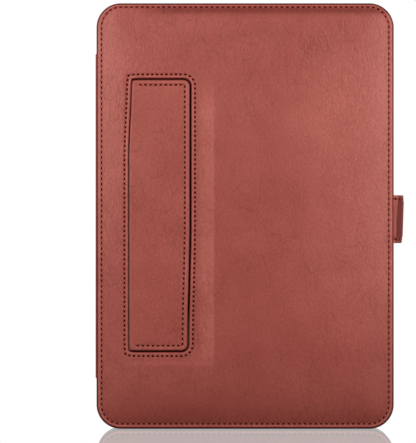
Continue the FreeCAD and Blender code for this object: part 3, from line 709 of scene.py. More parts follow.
RING_INSETS = [14, 12.5, 11, 9.6, 8.4, 7.3, 6.4, 5.6, 5.0, 4.5, 4.1, 3.75]
# (inset, height over the lining, paint) across the seam, round the rolled edge and underneath;
# the paint is painted shade in the seam's groove and on the turn of the rolled edge (there partly
# its darker edge colour), and a painted highlight on the welt between them
RIM = [
    (3.45, 1.78, -0.08), (3.1, 1.62, -0.2), (2.75, 1.8, -0.06), (2.4, 2.1, 0.12),
    (2.0, 2.3, 0.22), (1.6, 2.36, 0.26), (1.3, 2.3, 0.1), (1.1, 2.2, -0.2),
    (0.85, 2.05, -0.44), (0.4, 1.65, -0.5), (0.15, 1.2, -0.5), (0.02, 0.8, -0.5),
    (0.0, 0.45, -0.4), (0.1, 0.15, -0.3), (0.4, 0.0, -0.2), (7.0, 0.0, 0.0),
]
# (outside the well, below the face, paint): the stitched lip that frames the flap; the paint is
# painted shade in its groove and down the well's walls, and a painted highlight on the rise between
LIP = [
    (4.2, 0, 0), (3.6, 0.0, 0), (3.1, 0.1, -0.05), (2.75, 0.24, -0.16),
    (2.4, 0.34, -0.2), (2.05, 0.24, -0.1), (1.7, 0.06, 0.04), (1.3, -0.05, 0.14),
    (0.9, -0.03, 0.12), (0.55, 0.1, 0.0), (0.28, 0.34, -0.2), (0.1, 0.7, -0.4),
    (0.02, 1.2, -0.5), (0.0, 2.4, -0.5), (-0.3, 2.75, -0.5), (-2.2, 2.8, -0.5),
]


def cover_skin(name, cover, hole=None):
    """The leather of a cover: a fine grid, rings out to the seam, and the rolled edge.

    hole is an Outline of the well in the leather; the grid is cut back round it and rings lead
    down to a stitched lip.
    """
    shape = cover.outline
    gx, gz = np.meshgrid(shape.xs, shape.zs, indexing="ij")
    gy = cover.y(gx, gz, shape.depth_in(gx, gz))
    points = [np.column_stack([gx.ravel(), gy.ravel(), gz.ravel()])]
    # Each point's paint is the cover's painted light and shade; the rings add their own painted
    # shade or highlight
    paint = [cover.painted_shading(gx, gz).ravel()]
    total = gx.size
    flip = cover.outward > 0
    gap = (0, 0, 0, 0)
    if hole:
        x0, x1, z0, z1 = hole.inner
        far = hole.radius + 7
        i0, i1 = (int(np.abs(shape.xs - v).argmin()) for v in (x0 - far, x1 + far))
        j0, j1 = (int(np.abs(shape.zs - v).argmin()) for v in (z0 - far, z1 + far))
        gap = i0, i1, j0, j1
    faces = grid_faces(shape, 0, flip, gap)

    def add_ring(ring, y, shade):
        nonlocal total
        points.append(at_depth(ring, y))
        paint.append(shade + cover.painted_shading(ring[:, 0], ring[:, 1]))
        total += len(ring)
        return total - len(ring)

    first = None
    count = len(shape)
    for inset in RING_INSETS:
        ring = hem_ring(shape, inset)
        start = add_ring(ring, cover.y(ring[:, 0], ring[:, 1], np.full(count, inset)), 0)
        if first is None:
            faces += border_faces(shape, 0, start, flip)
        else:
            faces += bridge(count, first, start, not flip)
        first = start
    for inset, high, shade in RIM:
        start = add_ring(hem_ring(shape, inset), cover.base + cover.outward * high, shade)
        faces += bridge(count, first, start, not flip)
        first = start

    if hole:
        loop = [(i, j0) for i in range(i0, i1)] + [(i1, j) for j in range(j0, j1)]
        loop += [(i, j1) for i in range(i1, i0, -1)] + [(i0, j) for j in range(j1, j0, -1)]
        spots = np.array([(shape.xs[i], shape.zs[j]) for i, j in loop])
        core = np.column_stack([np.clip(spots[:, 0], x0, x1), np.clip(spots[:, 1], z0, z1)])
        way = spots - core
        way /= np.linalg.norm(way, axis=1)[:, None]
        pull = np.where(spots[:, 0] < x0, hole.square[2], hole.square[0])
        way *= (np.abs(way).max(axis=1) ** -pull)[:, None]
        ids = [i * (UP + 1) + j for i, j in loop]
        n = len(ids)
        for offset, dip, shade in LIP:
            ring = core + way * (hole.radius + offset)
            ring[:, 0] += sway(ring[:, 0], ring[:, 1]) * gate(-offset, -4.2, -2.4)
            start = add_ring(ring, cover.over(ring) - cover.outward * dip, shade)
            now = list(range(start, start + n))
            for k in range(n):
                m = (k + 1) % n
                faces.append((ids[m], ids[k], now[k], now[m])[::-1])
            ids = now
    return mesh_object(name, np.vstack(points), faces, "leather_brown",
                       paint=np.concatenate(paint))


# Stitching -----------------------------------------------------------------------------------

# A thread reaches this share of its pitch each way, stands this high and dips this far at its ends
THREAD_REACH, THREAD_LIFT, THREAD_DIP = 0.31, 0.16, 0.5
THREAD_SIDES, THREAD_SECTIONS, HOLE_SIDES = 6, 7, 8
HOLE_LONG, HOLE_WIDE = 0.95, 0.8
# (share of the hole's size, height over the seam)
HOLE_RINGS = (1.0, -0.1), (0.85, 0.2), (0.35, 0.24)
SEAM_FLOOR = 1.62


def resample(path, pitch, closed):
    """Points at equal steps along a polyline."""
    path = np.asarray(path, float)
    if closed:
        path = np.vstack([path, path[:1]])
    steps = np.linalg.norm(np.diff(path, axis=0), axis=1)
    along = np.concatenate([[0], np.cumsum(steps)])
    number = max(1, round(along[-1] / pitch))
    at = np.linspace(0, along[-1], number + 1)
    return np.column_stack([np.interp(at, along, path[:, k]) for k in range(3)])


def stitches(name, path, normal, body, pitch=STITCH, closed=False, thick=0.42,
             material=None, slot="leather_brown"):
    """Threads and needle holes along a path. normal is the face's outward direction, or a
    function that gives it at a point."""

    def frame_at(spot, along):
        """Unit vectors along the path, across it and out of the face."""
        way = Vector(along).normalized()
        facing = normal(spot) if callable(normal) else normal
        side = way.cross(Vector(facing)).normalized()
        return way, side, side.cross(way)

    spots = resample(path, pitch, closed)
    points, faces, pits, pit_faces = [], [], [], []
    around, sections, corners = THREAD_SIDES, THREAD_SECTIONS, HOLE_SIDES
    for a, b in zip(spots[:-1], spots[1:]):
        way, side, up = frame_at((a + b) / 2, b - a)
        lean = math.radians(dice.uniform(-4, 4))
        run = way * math.cos(lean) + side * math.sin(lean)
        middle = Vector((a + b) / 2)
        half = Vector(b - a).length * THREAD_REACH
        first = len(points)
        for k in range(sections):
            t = k / (sections - 1) * 2 - 1
            swell = math.sqrt(max(0.0, 1 - t ** 4 * 0.75))
            centre = middle + run * (t * half) + up * (THREAD_LIFT - THREAD_DIP * t ** 4)
            for m in range(around):
                angle = TURN * m / around
                rim = side * math.cos(angle) * thick + up * math.sin(angle) * thick * 0.8
                points.append(centre + rim * swell)
        for k in range(sections - 1):
            faces += bridge(around, first + k * around, first + (k + 1) * around)
        faces.append(tuple(first + m for m in range(around))[::-1])
        faces.append(tuple(first + (sections - 1) * around + m for m in range(around)))
    # Each needle hole is a small dark cap, painted shade for the hole
    ends = spots[:-1] if closed else spots
    for k, spot in enumerate(ends):
        along = spots[min(k + 1, len(spots) - 1)] - spots[max(k - 1, 0)]
        way, side, up = frame_at(spot, along)
        first = len(pits)
        for ring, lift in HOLE_RINGS:
            for m in range(corners):
                angle = TURN * m / corners
                reach = way * math.cos(angle) * HOLE_LONG + side * math.sin(angle) * HOLE_WIDE
                pits.append(Vector(spot) + reach * ring + up * lift)
        middle_ring, top_ring = first + corners, first + 2 * corners
        pit_faces += bridge(corners, first, middle_ring) + bridge(corners, middle_ring, top_ring)
        pit_faces.append(tuple(top_ring + m for m in range(corners)))
    sewn = mesh_object(name + "_thread", points, faces, slot, material or THREAD)
    holes = mesh_object(name + "_holes", pits, pit_faces, slot, NEEDLE_HOLE_SHADE)
    for obj in (sewn, holes):
        if body:
            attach(obj, body)
    return sewn, holes


def cover_seam(name, cover, body):
    """Stitching all round a cover, in the groove of its outer face."""
    path = at_depth(hem_ring(cover.outline, SEAM), cover.base + cover.outward * SEAM_FLOOR)
    stitches(name, path, (0, cover.outward, 0), body, closed=True)


# Kickstand cover -----------------------------------------------------------------------------


def make_back_cover():
    well = Outline((WELL_X[0] + WELL_WALL, WELL_X[1] - WELL_WALL),
                   (WELL_Z[0] + WELL_WALL, WELL_Z[1] - WELL_WALL), FLAP_ROUND + 0.9, 8, 40, 10,
                   FLAP_SQUARE)
    skin = cover_skin("back_cover_skin", BACK, well)
    finish_piece(skin, "back_cover", "back_cover_leather")
    cover_seam("back_cover_seam", BACK, "back_cover")
    make_lining("back_cover_inside", "back_cover", BACK_LINING_Y, 1, "back_cover_lining")
    make_padding("back_cover_padding", BACK, "back_cover", "back_cover_foam",
                 span("back_cover_foam"), well)

    loop = well.ring(-2.4)
    loop[:, 0] += sway(loop[:, 0], loop[:, 1])
    path = at_depth(loop, BACK.over(loop) + 0.3)
    stitches("stand_frame_seam", path, (0, -1, 0), "back_cover", pitch=2.9, closed=True)

    floor_y, short = WELL_Y[0] + 3.0, 2.2
    bed = slab("stand_well_bed", (WELL_X[0] + short, WELL_X[1] - short), (floor_y, WELL_Y[1]),
               (WELL_Z[0] + short, WELL_Z[1] - short), 4, 0.2, "lining_grey")
    finish_piece(bed, "back_cover", "stand_well")


def make_lining(name, body, y, inward, node):
    """The grey lining, a little inside the leather's edge, with the cover's seam through it."""
    short = 0.35
    x = COVER_X[0] + short, COVER_X[1] - short
    z = COVER_Z[0] + short, COVER_Z[1] - short
    sheet = slab(name, x, y, z, COVER_ROUND - short, 0.3, "lining_grey", (40, 60, 16))
    finish_piece(sheet, body, node)
    face = y[1] if inward > 0 else y[0]
    ring = Outline(COVER_X, COVER_Z, COVER_ROUND, 40, 60, 16).ring(SEAM)
    stitches(name + "_seam", at_depth(ring, face - inward * 0.22), (0, inward, 0), body,
             closed=True, material=GREY_THREAD, slot="lining_grey", thick=0.3)


def make_padding(name, cover, body, node, box, well=None):
    """Foam under the leather, crowned as the leather is."""
    x, y, z = box
    shape = Outline(x, z, 4, 38, 58, 4)
    under = y[1] if cover.outward < 0 else y[0]
    leather_thick = 1.25
    rings = []
    for inset in (0, 0.4, 1.2, 2.5, 4):
        ring = shape.ring(inset)
        top = cover.over(ring) - cover.outward * leather_thick
        fall = 1 - math.sqrt(max(0, 1 - (1 - min(inset / 1.2, 1)) ** 2))
        rings.append(at_depth(ring, top + (under - top) * fall * 0.5))
    count = len(shape)
    points = [at_depth(shape.ring(0), under)] + rings
    faces = []
    flip = cover.outward > 0
    for k in range(len(points) - 1):
        faces += bridge(count, k * count, (k + 1) * count, flip)
    last = (len(points) - 1) * count
    gx, gz = np.meshgrid(shape.xs, shape.zs, indexing="ij")
    gy = cover.y(gx, gz, cover.outline.depth_in(gx, gz)) - cover.outward * leather_thick
    if well:
        inside = (gx > WELL_X[0] - 3) & (gx < WELL_X[1] + 3)
        inside &= (gz > WELL_Z[0] - 3) & (gz < WELL_Z[1] + 3)
        gy = np.where(inside, under + cover.outward * 0.3, gy)
    start = len(points) * count
    points.append(np.column_stack([gx.ravel(), gy.ravel(), gz.ravel()]))
    faces += grid_faces(shape, start, flip)
    faces += border_faces(shape, start, last, flip, fans=False)
    faces.append(tuple(range(count)) if flip else tuple(range(count))[::-1])
    foam = mesh_object(name, np.vstack(points), faces, "padding_foam")
    finish_piece(foam, body, node)


# Grid steps of the flap: across, up and round each corner
FLAP_GRID = 44, 190, 12
# (inset, below the face) round the flap's edge; the sewn groove is added by position
FLAP_RIM = [
    (3.5, 0.0), (3.2, 0.0), (2.9, 0.0), (2.6, 0.0), (2.3, 0.0),
    (1.9, 0.0), (1.4, 0.0), (1.0, 0.03), (0.65, 0.12), (0.38, 0.28), (0.18, 0.52), (0.05, 0.85),
    (0.0, 1.2), (0.05, 1.8), (0.3, 2.1), (0.8, 2.2),
]


def flap_inset(x, z):
    """How far inside the flap's three free edges a place lies."""
    edge = np.minimum(FLAP_X[1] - x, np.minimum(z - FLAP_Z[0], FLAP_Z[1] - z))
    r = FLAP_ROUND
    cx, low, high = FLAP_X[1] - r, FLAP_Z[0] + r, FLAP_Z[1] - r
    for cz, beyond in ((low, z < low), (high, z > high)):
        corner = (x > cx) & beyond
        edge = np.where(corner, r - np.hypot(x - cx, z - cz), edge)
    return edge


def make_flap():
    outline = Outline(FLAP_X, FLAP_Z, FLAP_ROUND, *FLAP_GRID, FLAP_SQUARE)
    whole = BACK.outline

    def sewn(x):
        """1 where the flap is stitched, and 0 along its fold."""
        return gate(x, FLAP_X[0] + 3.2, FLAP_X[0] + 4.6)

    def face_y(x, z):
        edge = flap_inset(x, z)
        y = BACK.y(x, z, whole.depth_in(x, z)) - 0.1
        groove = 0.36 * hump(edge - 3.0, 0.62) * sewn(x) - 0.1 * hump(edge - 1.7, 0.7) * sewn(x)
        pad = -0.22 * gate(edge, 3.4, 7)
        return y + groove + pad

    # Painted highlight on the welt just inside the flap's sewn edges, and painted shade in the
    # groove inside it
    def shade(x, z):
        edge = flap_inset(x, z)
        return 0.14 * hump(edge - 1.5, 0.7) * sewn(x) - 0.16 * hump(edge - 3.0, 0.6) * sewn(x)

    gx, gz = np.meshgrid(outline.xs, outline.zs, indexing="ij")
    moved = gx + sway(gx, gz)
    points = [np.column_stack([moved.ravel(), face_y(gx, gz).ravel(), gz.ravel()])]
    paint = [shade(gx, gz).ravel()]
    faces = grid_faces(outline)
    count, start, first = len(outline), gx.size, None
    for inset, below in FLAP_RIM:
        ring = outline.ring(inset)
        y = face_y(ring[:, 0], ring[:, 1]) + below
        points.append(np.column_stack([ring[:, 0] + sway(ring[:, 0], ring[:, 1]), y, ring[:, 1]]))
        # The rim gets painted shade where it turns down
        paint.append(shade(ring[:, 0], ring[:, 1]) - 0.3 * gate(below, 0.1, 0.9))
        if first is None:
            faces += border_faces(outline, 0, start)
        else:
            faces += bridge(count, first, start, True)
        first, start = start, start + count
    leather_face = mesh_object("flap_skin", np.vstack(points), faces, "leather_brown",
                               paint=np.concatenate(paint))
    finish_piece(leather_face, "stand_flap", "flap_leather")

    lining_y = span("flap_lining")[1]
    x, z = (FLAP_X[0] + 2.0, FLAP_X[1] - 1.9), (FLAP_Z[0] + 0.6, FLAP_Z[1] - 0.6)
    under = slab("flap_underside", x, (lining_y[0] - 0.4, lining_y[1]), z, 4.8, 0.35, "lining_grey",
                 (8, 30, 8))
    finish_piece(under, "stand_flap", "flap_lining")

    inset, r = 3, 1.2
    low, high, right = FLAP_Z[0] + inset, FLAP_Z[1] - inset, FLAP_X[1] - inset
    left = FLAP_X[0] + 5.5
    turn = [(r * math.sin(a), r * math.cos(a)) for a in np.linspace(0, TURN / 4, 6)[1:]]
    path = [(x, low) for x in np.linspace(left, right - r, 12)]
    path += [(right - r + out, low + r - up) for out, up in turn]
    path += [(right, z) for z in np.linspace(low + r, high - r, 40)[1:]]
    path += [(right - r + up, high - r + out) for out, up in turn]
    path += [(x, high) for x in np.linspace(right - r, left, 12)[1:]]
    path = np.array(path)
    y = face_y(path[:, 0], path[:, 1])
    path[:, 0] += sway(path[:, 0], path[:, 1])
    stitches("flap_seam", at_depth(path, y), (0, -1, 0), "stand_flap", pitch=3.1)


# Front cover ---------------------------------------------------------------------------------


def make_front_cover():
    skin = cover_skin("front_cover_skin", FRONT)
    finish_piece(skin, "front_cover", "front_cover_leather")
    cover_seam("front_cover_seam", FRONT, "front_cover")
    make_lining("front_cover_inside", "front_cover", FRONT_LINING_Y, -1, "front_cover_lining")
    make_padding("front_cover_padding", FRONT, "front_cover", "front_cover_foam",
                 span("front_cover_foam"))


# Strap and spine -----------------------------------------------------------------------------


def smooth_path(corners, step):
    """A curve through the corner points of a polyline, sampled about every step."""
    points = np.array(corners, float)
    for _ in range(3):
        cut = [points[:1]]
        for a, b in zip(points[:-1], points[1:]):
            cut.append([a * 0.75 + b * 0.25, a * 0.25 + b * 0.75])
        cut.append(points[-1:])
        points = np.vstack(cut)
    along = np.concatenate([[0], np.cumsum(np.linalg.norm(np.diff(points, axis=0), axis=1))])
    number = int(math.ceil(along[-1] / step)) + 1
    at = np.linspace(0, along[-1], number)
    path = np.column_stack([np.interp(at, along, points[:, k]) for k in range(2)])
    way = np.gradient(path, axis=0)
    way /= np.linalg.norm(way, axis=1)[:, None]
    return path, np.column_stack([way[:, 1], -way[:, 0]]), at


def band_section(thick, groove_at=None):
    """(distance from a band's edge, offset from its face) for the edge, the groove and the back."""
    soft = min(0.45, thick * 0.45)
    edge = [(0.0, -thick + soft), (0.0, -soft), (soft * 0.3, -soft * 0.3), (soft, 0.0)]
    face = []
    if groove_at:
        for step, dip in ((-0.9, -0.02), (-0.45, 0.12), (0, 0.22), (0.45, 0.12), (0.9, 0.0)):
            face.append((groove_at + step, -dip))
    back = [(soft, -thick), (soft * 0.3, -thick + soft * 0.3)]
    return edge, face, back


class Band:
    """A strip of material that follows a path in plan and stands along Z."""

    def __init__(self, corners, z, thick, groove_at=None, swell=None, lean=0.0, end_round=0.0,
                 painted_shading=None):
        self.path, self.out, self.at = smooth_path(corners, 0.8)
        self.painted_shading = painted_shading
        self.z, self.thick, self.groove_at = z, thick, groove_at
        self.swell, self.lean, self.end_round = swell, lean, end_round

    def point(self, k, from_low, offset, share=None):
        """A point at a distance above the lower edge, or below the upper one if negative."""
        z0, z1 = self.z
        left = self.at[-1] - self.at[k]
        cut = 0.0
        if left < self.end_round:
            r = self.end_round
            cut = r - math.sqrt(max(0.0, r * r - (r - left) ** 2))
        low, high = z0 + cut, z1 - cut
        if share is not None:
            z = low + (high - low) * share
        else:
            z = low + from_low if from_low >= 0 else high + from_low
        x, y = self.path[k] + self.out[k] * offset
        if self.swell and offset > -self.thick * 0.6:
            inner = min(z - z0, z1 - z)
            x += self.out[k][0] * self.swell(y) * float(gate(inner, 2.4, 4.4))
        middle = (z0 + z1) / 2
        reach = float(gate(x, COVER_X[1] + 1, COVER_X[1] + 5)) if self.lean else 0.0
        return x + self.lean * reach * (z - middle) / (z1 - z0), y, z

    def rings(self, first, last):
        edge, face, back = band_section(self.thick, self.groove_at)
        shares = np.linspace(0.14, 0.86, 13) if self.groove_at else np.linspace(0.06, 0.94, 9)
        rings, paint = [], []
        for k in range(first, last):
            ring = [self.point(k, max(a, 1e-4), o) for a, o in edge + face]
            ring += [self.point(k, 0, 0.0, share) for share in shares]
            ring += [self.point(k, -max(a, 1e-4), o) for a, o in (edge + face)[::-1]]
            ring += [self.point(k, -max(a, 1e-4), o) for a, o in back[::-1]]
            ring += [self.point(k, max(a, 1e-4), o) for a, o in back]
            rings.append(np.array(ring))
            # Painted shade on the band's edges and back and in its sewn groove, and a painted
            # highlight where each edge rolls onto the face
            dark = [-0.5, -0.5, -0.2, 0.16] + ([0.1, -0.05, -0.16, -0.06, 0.0] if face else [])
            shade = np.array(dark + [0.0] * len(shares) + dark[::-1] + [-0.3] * 4)
            # The band's painted light and shade by position is added to this
            if self.painted_shading:
                shade += [self.painted_shading(*spot) for spot in ring]
            paint += list(np.maximum(shade, -0.5))
        return rings, paint

    def split(self, y):
        """The index of the sample where the path first passes y."""
        return int(np.argmax(self.path[:, 1] >= y))

    def piece(self, name, first, last, slot, bodies, start, end, *nodes):
        rings, paint = self.rings(first, last + 1)
        obj = loft(name, rings, slot, paint=paint if slot == "leather_brown" else None, sharp=55)
        if nodes:
            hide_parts(*nodes)
        bend(obj, bodies, start, end)
        return obj

    def seam(self, name, first, last, bodies, start, end, round_end=False):
        """Stitching along both edges, and round the end where the band stops."""
        low = [self.point(k, self.groove_at, -0.2) for k in range(first, last + 1)]
        high = [self.point(k, -self.groove_at, -0.2) for k in range(first, last + 1)]
        if round_end:
            stop = self.groove_at
            keep = sum(1 for k in range(first, last + 1) if self.at[-1] - self.at[k] >= stop)
            low, high = low[:keep], high[:keep]
            corner = [(low[-1][0], low[-1][1], z) for z in np.linspace(low[-1][2], high[-1][2], 12)]
            runs = [low + corner[1:-1] + high[::-1]]
        else:
            runs = [low, high]

        def facing(spot):
            near = np.linalg.norm(self.path - np.array([spot[0], spot[1]]), axis=1).argmin()
            return (*self.out[near], 0)

        for k, run in enumerate(runs):
            for obj in stitches(f"{name}_{k}", run, facing, None, pitch=3.2):
                bend(obj, bodies, start, end)


def bend(obj, bodies, start, end):
    """Bake obj's transform into its mesh; obj is not turned between bodies, nor attached to one."""
    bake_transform(obj)


def make_strap():
    z = span("latch_span_leather")[2]
    middle = sum(z) / 2
    out = span("latch_span_leather")[0][1]
    tip_x, tip_y, _ = span("latch_tip_leather")
    root = span("latch_root")[0][0]
    edge = COVER_X[1]
    corners = [
        (root, -10.45), (edge + 1.4, -10.4), (edge + 2.6, -10.3), (edge + 5.1, -6.0),
        (out, -2.5), (out, 4.0), (out, 9.3), (out - 0.6, tip_y[1] - 0.2), (out - 3.4, tip_y[1]),
        (tip_x[0], tip_y[1]),
    ]

    def ribs(y):
        """Two soft ribs across the strap, where it is padded over the slabs' edges."""
        return 0.8 * float(hump(y - 3.5, 2.5) + hump(y + 4.3, 2.5)) - 0.2

    def painted_shading(x, y, height):
        """Painted shade where the strap turns round the slabs' edges, in the dip between the ribs
        and past the front rib, less again near the tip's fold, and a painted highlight on each rib.
        """
        slant = 1.2 * (height - middle) / (z[1] - z[0])
        turned = gate(x, edge + 1.5 + slant, edge + 2.3 + slant) * gate(-y, 3.8, 5.4)
        beyond = -0.28 * gate(y, 6.0, 7.0) + 0.14 * gate(y, 8.2, 9.4)
        ribs = 0.08 * (hump(y - 3.5, 2.2) + hump(y + 4.3, 2.2)) - 0.26 * hump(y + 0.4, 1.1)
        return -0.45 * turned + beyond + ribs

    skin = Band(corners, z, 1.15, 2.3, ribs, 1.0, 4.0, painted_shading)
    half = skin.split(0)
    root_turn = (edge + 0.5, -9.6, middle), (out - 0.6, -5.6, middle)
    tip_turn = (out - 0.8, 9.6, middle), (out - 3.6, tip_y[1] - 0.4, middle)
    to_span, to_tip = ("back_cover", "latch_span"), ("latch_span", "latch_tip")
    last = len(skin.path) - 1
    skin.piece("strap_root_skin", 0, half, "leather_brown", to_span, *root_turn,
               "latch_root", "latch_span_leather")
    skin.piece("strap_tip_skin", half, last, "leather_brown", to_tip, *tip_turn,
               "latch_tip_leather")
    outside = int(np.argmax(skin.path[:, 0] > edge + 0.6))
    skin.seam("strap_root_seam", outside, half, to_span, *root_turn)
    skin.seam("strap_tip_seam", half, last, to_tip, *tip_turn, round_end=True)

    inner = [tuple(p) for p in (skin.path - skin.out * 1.15)[::6]]
    inner.append(tuple((skin.path - skin.out * 1.15)[-1] + np.array([0.5, 0])))
    lining = Band(inner, (z[0] + 0.3, z[1] - 0.3), 0.6, None, None, 1.0, 4.0)
    half, last = lining.split(0), len(lining.path) - 1
    lining.piece("strap_root_lining", 0, half, "lining_grey", to_span, *root_turn,
                 "latch_span_lining")
    lining.piece("strap_tip_lining", half, last, "lining_grey", to_tip, *tip_turn,
                 "latch_tip_lining")


def make_spine():
    x, _, z = span("spine_leather")
    middle = sum(z) / 2
    out, back, front = x[0] + 0.5, BACK_LINING_Y[0], FRONT_LINING_Y[1]
    corners = [
        (out + 3.0, front + 0.15), (out + 1.4, front + 0.15), (out, front - 0.6), (out, 4.0),
        (out, -4.0), (out, back + 0.6), (out + 1.4, back - 0.15), (out + 3.0, back - 0.15),
    ]

    def painted_shading(x, y, height):
        """Painted shade where the leather turns in under the covers' rolled edges."""
        return -0.35 * gate(abs(y), -back - 2.5, -back - 0.8)

    skin = Band(corners, z, 1.0, painted_shading=painted_shading)
    half = int(np.argmax(skin.path[:, 1] <= 0))
    last = len(skin.path) - 1
    to_front = (out + 1.6, front + 0.1, middle), (out + 0.3, front - 2.2, middle)
    to_back = (out + 0.3, back + 2.2, middle), (out + 1.6, back - 0.1, middle)
    skin.piece("spine_front_half", 0, half, "leather_brown", ("front_cover", "spine"), *to_front)
    skin.piece("spine_back_half", half, last, "leather_brown", ("spine", "back_cover"), *to_back,
               "spine_leather")
    inside = span("spine_lining")[0][1]
    corners = [
        (inside + 0.5, FRONT_LINING_Y[0] + 0.2), (inside, FRONT_LINING_Y[0] - 0.2), (inside, 4.0),
        (inside, -4.0), (inside, BACK_LINING_Y[1] + 0.2), (inside + 0.5, BACK_LINING_Y[1] - 0.2),
    ]
    cloth = Band([(px - 0.6, py) for px, py in corners], (z[0] + 0.4, z[1] - 0.4), 0.6)
    cloth.out = -cloth.out
    half, last = int(np.argmax(cloth.path[:, 1] <= 0)), len(cloth.path) - 1
    rings, _ = cloth.rings(0, half + 1)
    first = loft("spine_front_lining", rings, "lining_grey", flip=True)
    bend(first, ("front_cover", "spine"), *to_front)
    rings, _ = cloth.rings(half, last + 1)
    second = loft("spine_back_lining", rings, "lining_grey", flip=True)
    bend(second, ("spine", "back_cover"), *to_back)
    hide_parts("spine_lining")


# Sleeve, e-reader and keyboard ---------------------------------------------------------------


def make_sleeve():
    x, y, z = span("sleeve_leaf")
    samples = 40, 60, 12
    outer = Outline(x, z, 12, *samples)
    wide, tall = SLEEVE_OPENING[0] / 2, SLEEVE_OPENING[1] / 2
    mid_x, mid_z = sum(x) / 2, sum(z) / 2
    inner = Outline((mid_x - wide, mid_x + wide), (mid_z - tall, mid_z + tall), 4, *samples)
    leaf = ring_plate("sleeve_leaf_skin", outer, inner, y, 0.45, "leather_brown")
    finish_piece(leaf, "back_cover", "sleeve_leaf")
    for name, ring in (("leaf_outer_seam", outer.ring(2.4)), ("leaf_inner_seam", inner.ring(-2.4))):
        stitches(name, at_depth(ring, y[1] - 0.12), (0, 1, 0), "back_cover", closed=True)
    for node in ("sleeve_strip_lower", "sleeve_strip_upper", "sleeve_strip_spine"):
        (x0, x1), (y0, y1), (z0, z1) = span(node)
        strip = side_slab(node + "_skin", (x0, x1), (y0, y1), (z0, z1), 0.4)
        finish_piece(strip, "back_cover", node)


def side_slab(name, x, y, z, edge):
    """A thin upright slab whose wide faces look along X."""
    obj = slab(name, y, x, z, 1.0, edge, "leather_brown", (3, 20, 4))
    for vertex in obj.data.vertices:
        vertex.co.x, vertex.co.y = vertex.co.y, vertex.co.x
    obj.data.flip_normals()
    return obj


def soften(node, edge):
    """A copy of a CAD node with its sharp edges rounded, standing for it."""
    source = frame["nodes"][node]
    body = source["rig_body"]
    shape = bmesh.new()
    shape.from_mesh(source.data)
    bmesh.ops.remove_doubles(shape, verts=shape.verts, dist=0.000002)
    bmesh.ops.dissolve_limit(shape, angle_limit=math.radians(0.5), verts=shape.verts,
                             edges=shape.edges)
    sharp = [e for e in shape.edges
             if e.is_manifold and e.calc_face_angle(0) > math.radians(32)]
    bmesh.ops.bevel(shape, geom=sharp, offset=edge * METRE, segments=3, profile=0.5,
                    affect="EDGES", clamp_overlap=True)
    data = bpy.data.meshes.new(node + "_soft")
    shape.to_mesh(data)
    shape.free()
    data.polygons.foreach_set("use_smooth", [True] * len(data.polygons))
    data.set_sharp_from_angle(angle=math.radians(35))
    slot = next(p["material_slot"] for p in frame["record"]["subparts"] if p["node"] == node)
    data.materials.append(MATERIALS[slot])
    obj = bpy.data.objects.new(node + "_soft", data)
    bpy.context.scene.collection.objects.link(obj)
    return finish_piece(obj, body, node)


def make_slabs():
    for node, edge in {
        "front_frame": 0.55, "rear_housing": 0.7, "usb_port": 0.06, "power_button": 0.3,
        "page_back_button": 0.25, "home_button": 0.25, "page_next_button": 0.25,
        "keyboard_deck": 0.25, "keyboard_rim": 0.12, "keyboard_base": 0.3,
        "keyboard_key_mat": 0.3, "keyboard_switch": 0.15, "keyboard_port": 0.06,
        "cover_glass": 0.08, "housing_screws": 0.1, "battery": 0.4, "shield_can": 0.15,
        "keyboard_battery": 0.4, "stand_keeper": 0.1, "flap_magnets": 0.08, "latch_magnet": 0.08,
    }.items():
        soften(node, edge)


FOLD = 0.9
# Where the band's two edges cross the keyboard's, from the corner
ELASTIC_CROSSES = 27.0, 38.3


def folded(t):
    """(outwards, down, angle) of a strip laid over an edge, t past the edge."""
    bend_radius = 2 * FOLD / (TURN / 4)
    if t <= -FOLD:
        return t, 0.0, 0.0
    if t >= FOLD:
        return bend_radius - FOLD, bend_radius + t - FOLD, TURN / 4
    angle = (t + FOLD) / bend_radius
    return bend_radius * math.sin(angle) - FOLD, bend_radius * (1 - math.cos(angle)), angle


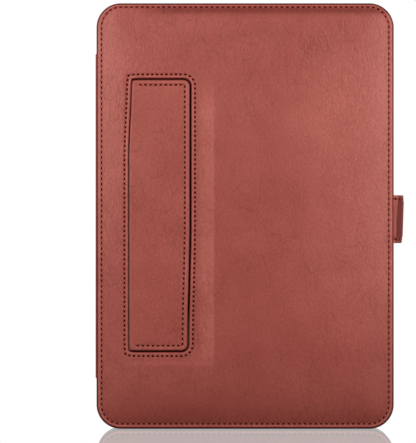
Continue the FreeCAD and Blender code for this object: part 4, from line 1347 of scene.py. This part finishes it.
def make_elastic(node, right, up):
    """A woven band slantwise over a corner of the keyboard and down its two sides."""
    x, _, z = span("keyboard_deck")
    top = span(node)[1]
    thick, sink = 0.55, span("front_cover_lining")[1][0] - top[0] + 0.2
    edge_x = x[1] if right > 0 else x[0]
    edge_z = z[1] if up > 0 else z[0]
    near, far = ELASTIC_CROSSES
    middle, wide = (near + far) / 2, (far - near) / math.sqrt(2)
    half = (middle / 2 + sink) * math.sqrt(2) + wide / 2
    points, flat = [], []
    runs, across = 150, 8
    profile = [(-1, 0.5)] + [(k / across * 2 - 1, 0.0) for k in range(across + 1)][1:-1]
    profile += [(1, 0.5)] + [(1 - k / across * 2, 1.0) for k in range(across + 1)][1:-1]
    for k in range(runs + 1):
        s = half * (2 * k / runs - 1)
        for n, depth in profile:
            m = n * wide / 2
            a = (middle / 2) + (s + m) / math.sqrt(2)
            b = (middle / 2) + (m - s) / math.sqrt(2)
            out_x, down_x, turn_x = folded(-a)
            out_z, down_z, turn_z = folded(-b)
            lift = thick * (1 - depth)
            down = min(down_x + down_z, sink) + thick
            grow_x = lift * math.sin(turn_x)
            grow_z = lift * math.sin(turn_z)
            rise = lift * math.cos(turn_x) * math.cos(turn_z)
            points.append((edge_x + right * (out_x + grow_x), top[0] + down - rise,
                           edge_z + up * (out_z + grow_z)))
            flat.append((s, m))
    count = len(profile)
    faces = []
    flip = right * up > 0
    for k in range(runs):
        faces += bridge(count, k * count, (k + 1) * count, flip)
    obj = mesh_object(node + "_band", points, faces, "elastic_black", sharp=60)
    layer = obj.data.uv_layers.new(name="along")
    for loop in obj.data.loops:
        layer.data[loop.index].uv = flat[loop.vertex_index]
    return finish_piece(obj, "front_cover", node)


# Everything ----------------------------------------------------------------------------------


def finish_cad_nodes():
    """Each CAD node that stays takes the finish of its slot."""
    for part in frame["record"]["subparts"]:
        node = frame["nodes"][part["node"]]
        for held in node.material_slots:
            held.material = MATERIALS[part["material_slot"]]


bpy.context.scene.view_settings.view_transform = "Standard"
make_camera()
make_world()
make_lights()
make_floor()
finish_cad_nodes()
make_back_cover()
make_flap()
make_front_cover()
make_strap()
make_spine()
make_sleeve()
make_slabs()
for place, sides in {
    "spine_bottom": (-1, -1), "latch_bottom": (1, -1), "latch_top": (1, 1), "spine_top": (-1, 1),
}.items():
    make_elastic("corner_elastic_" + place, *sides)
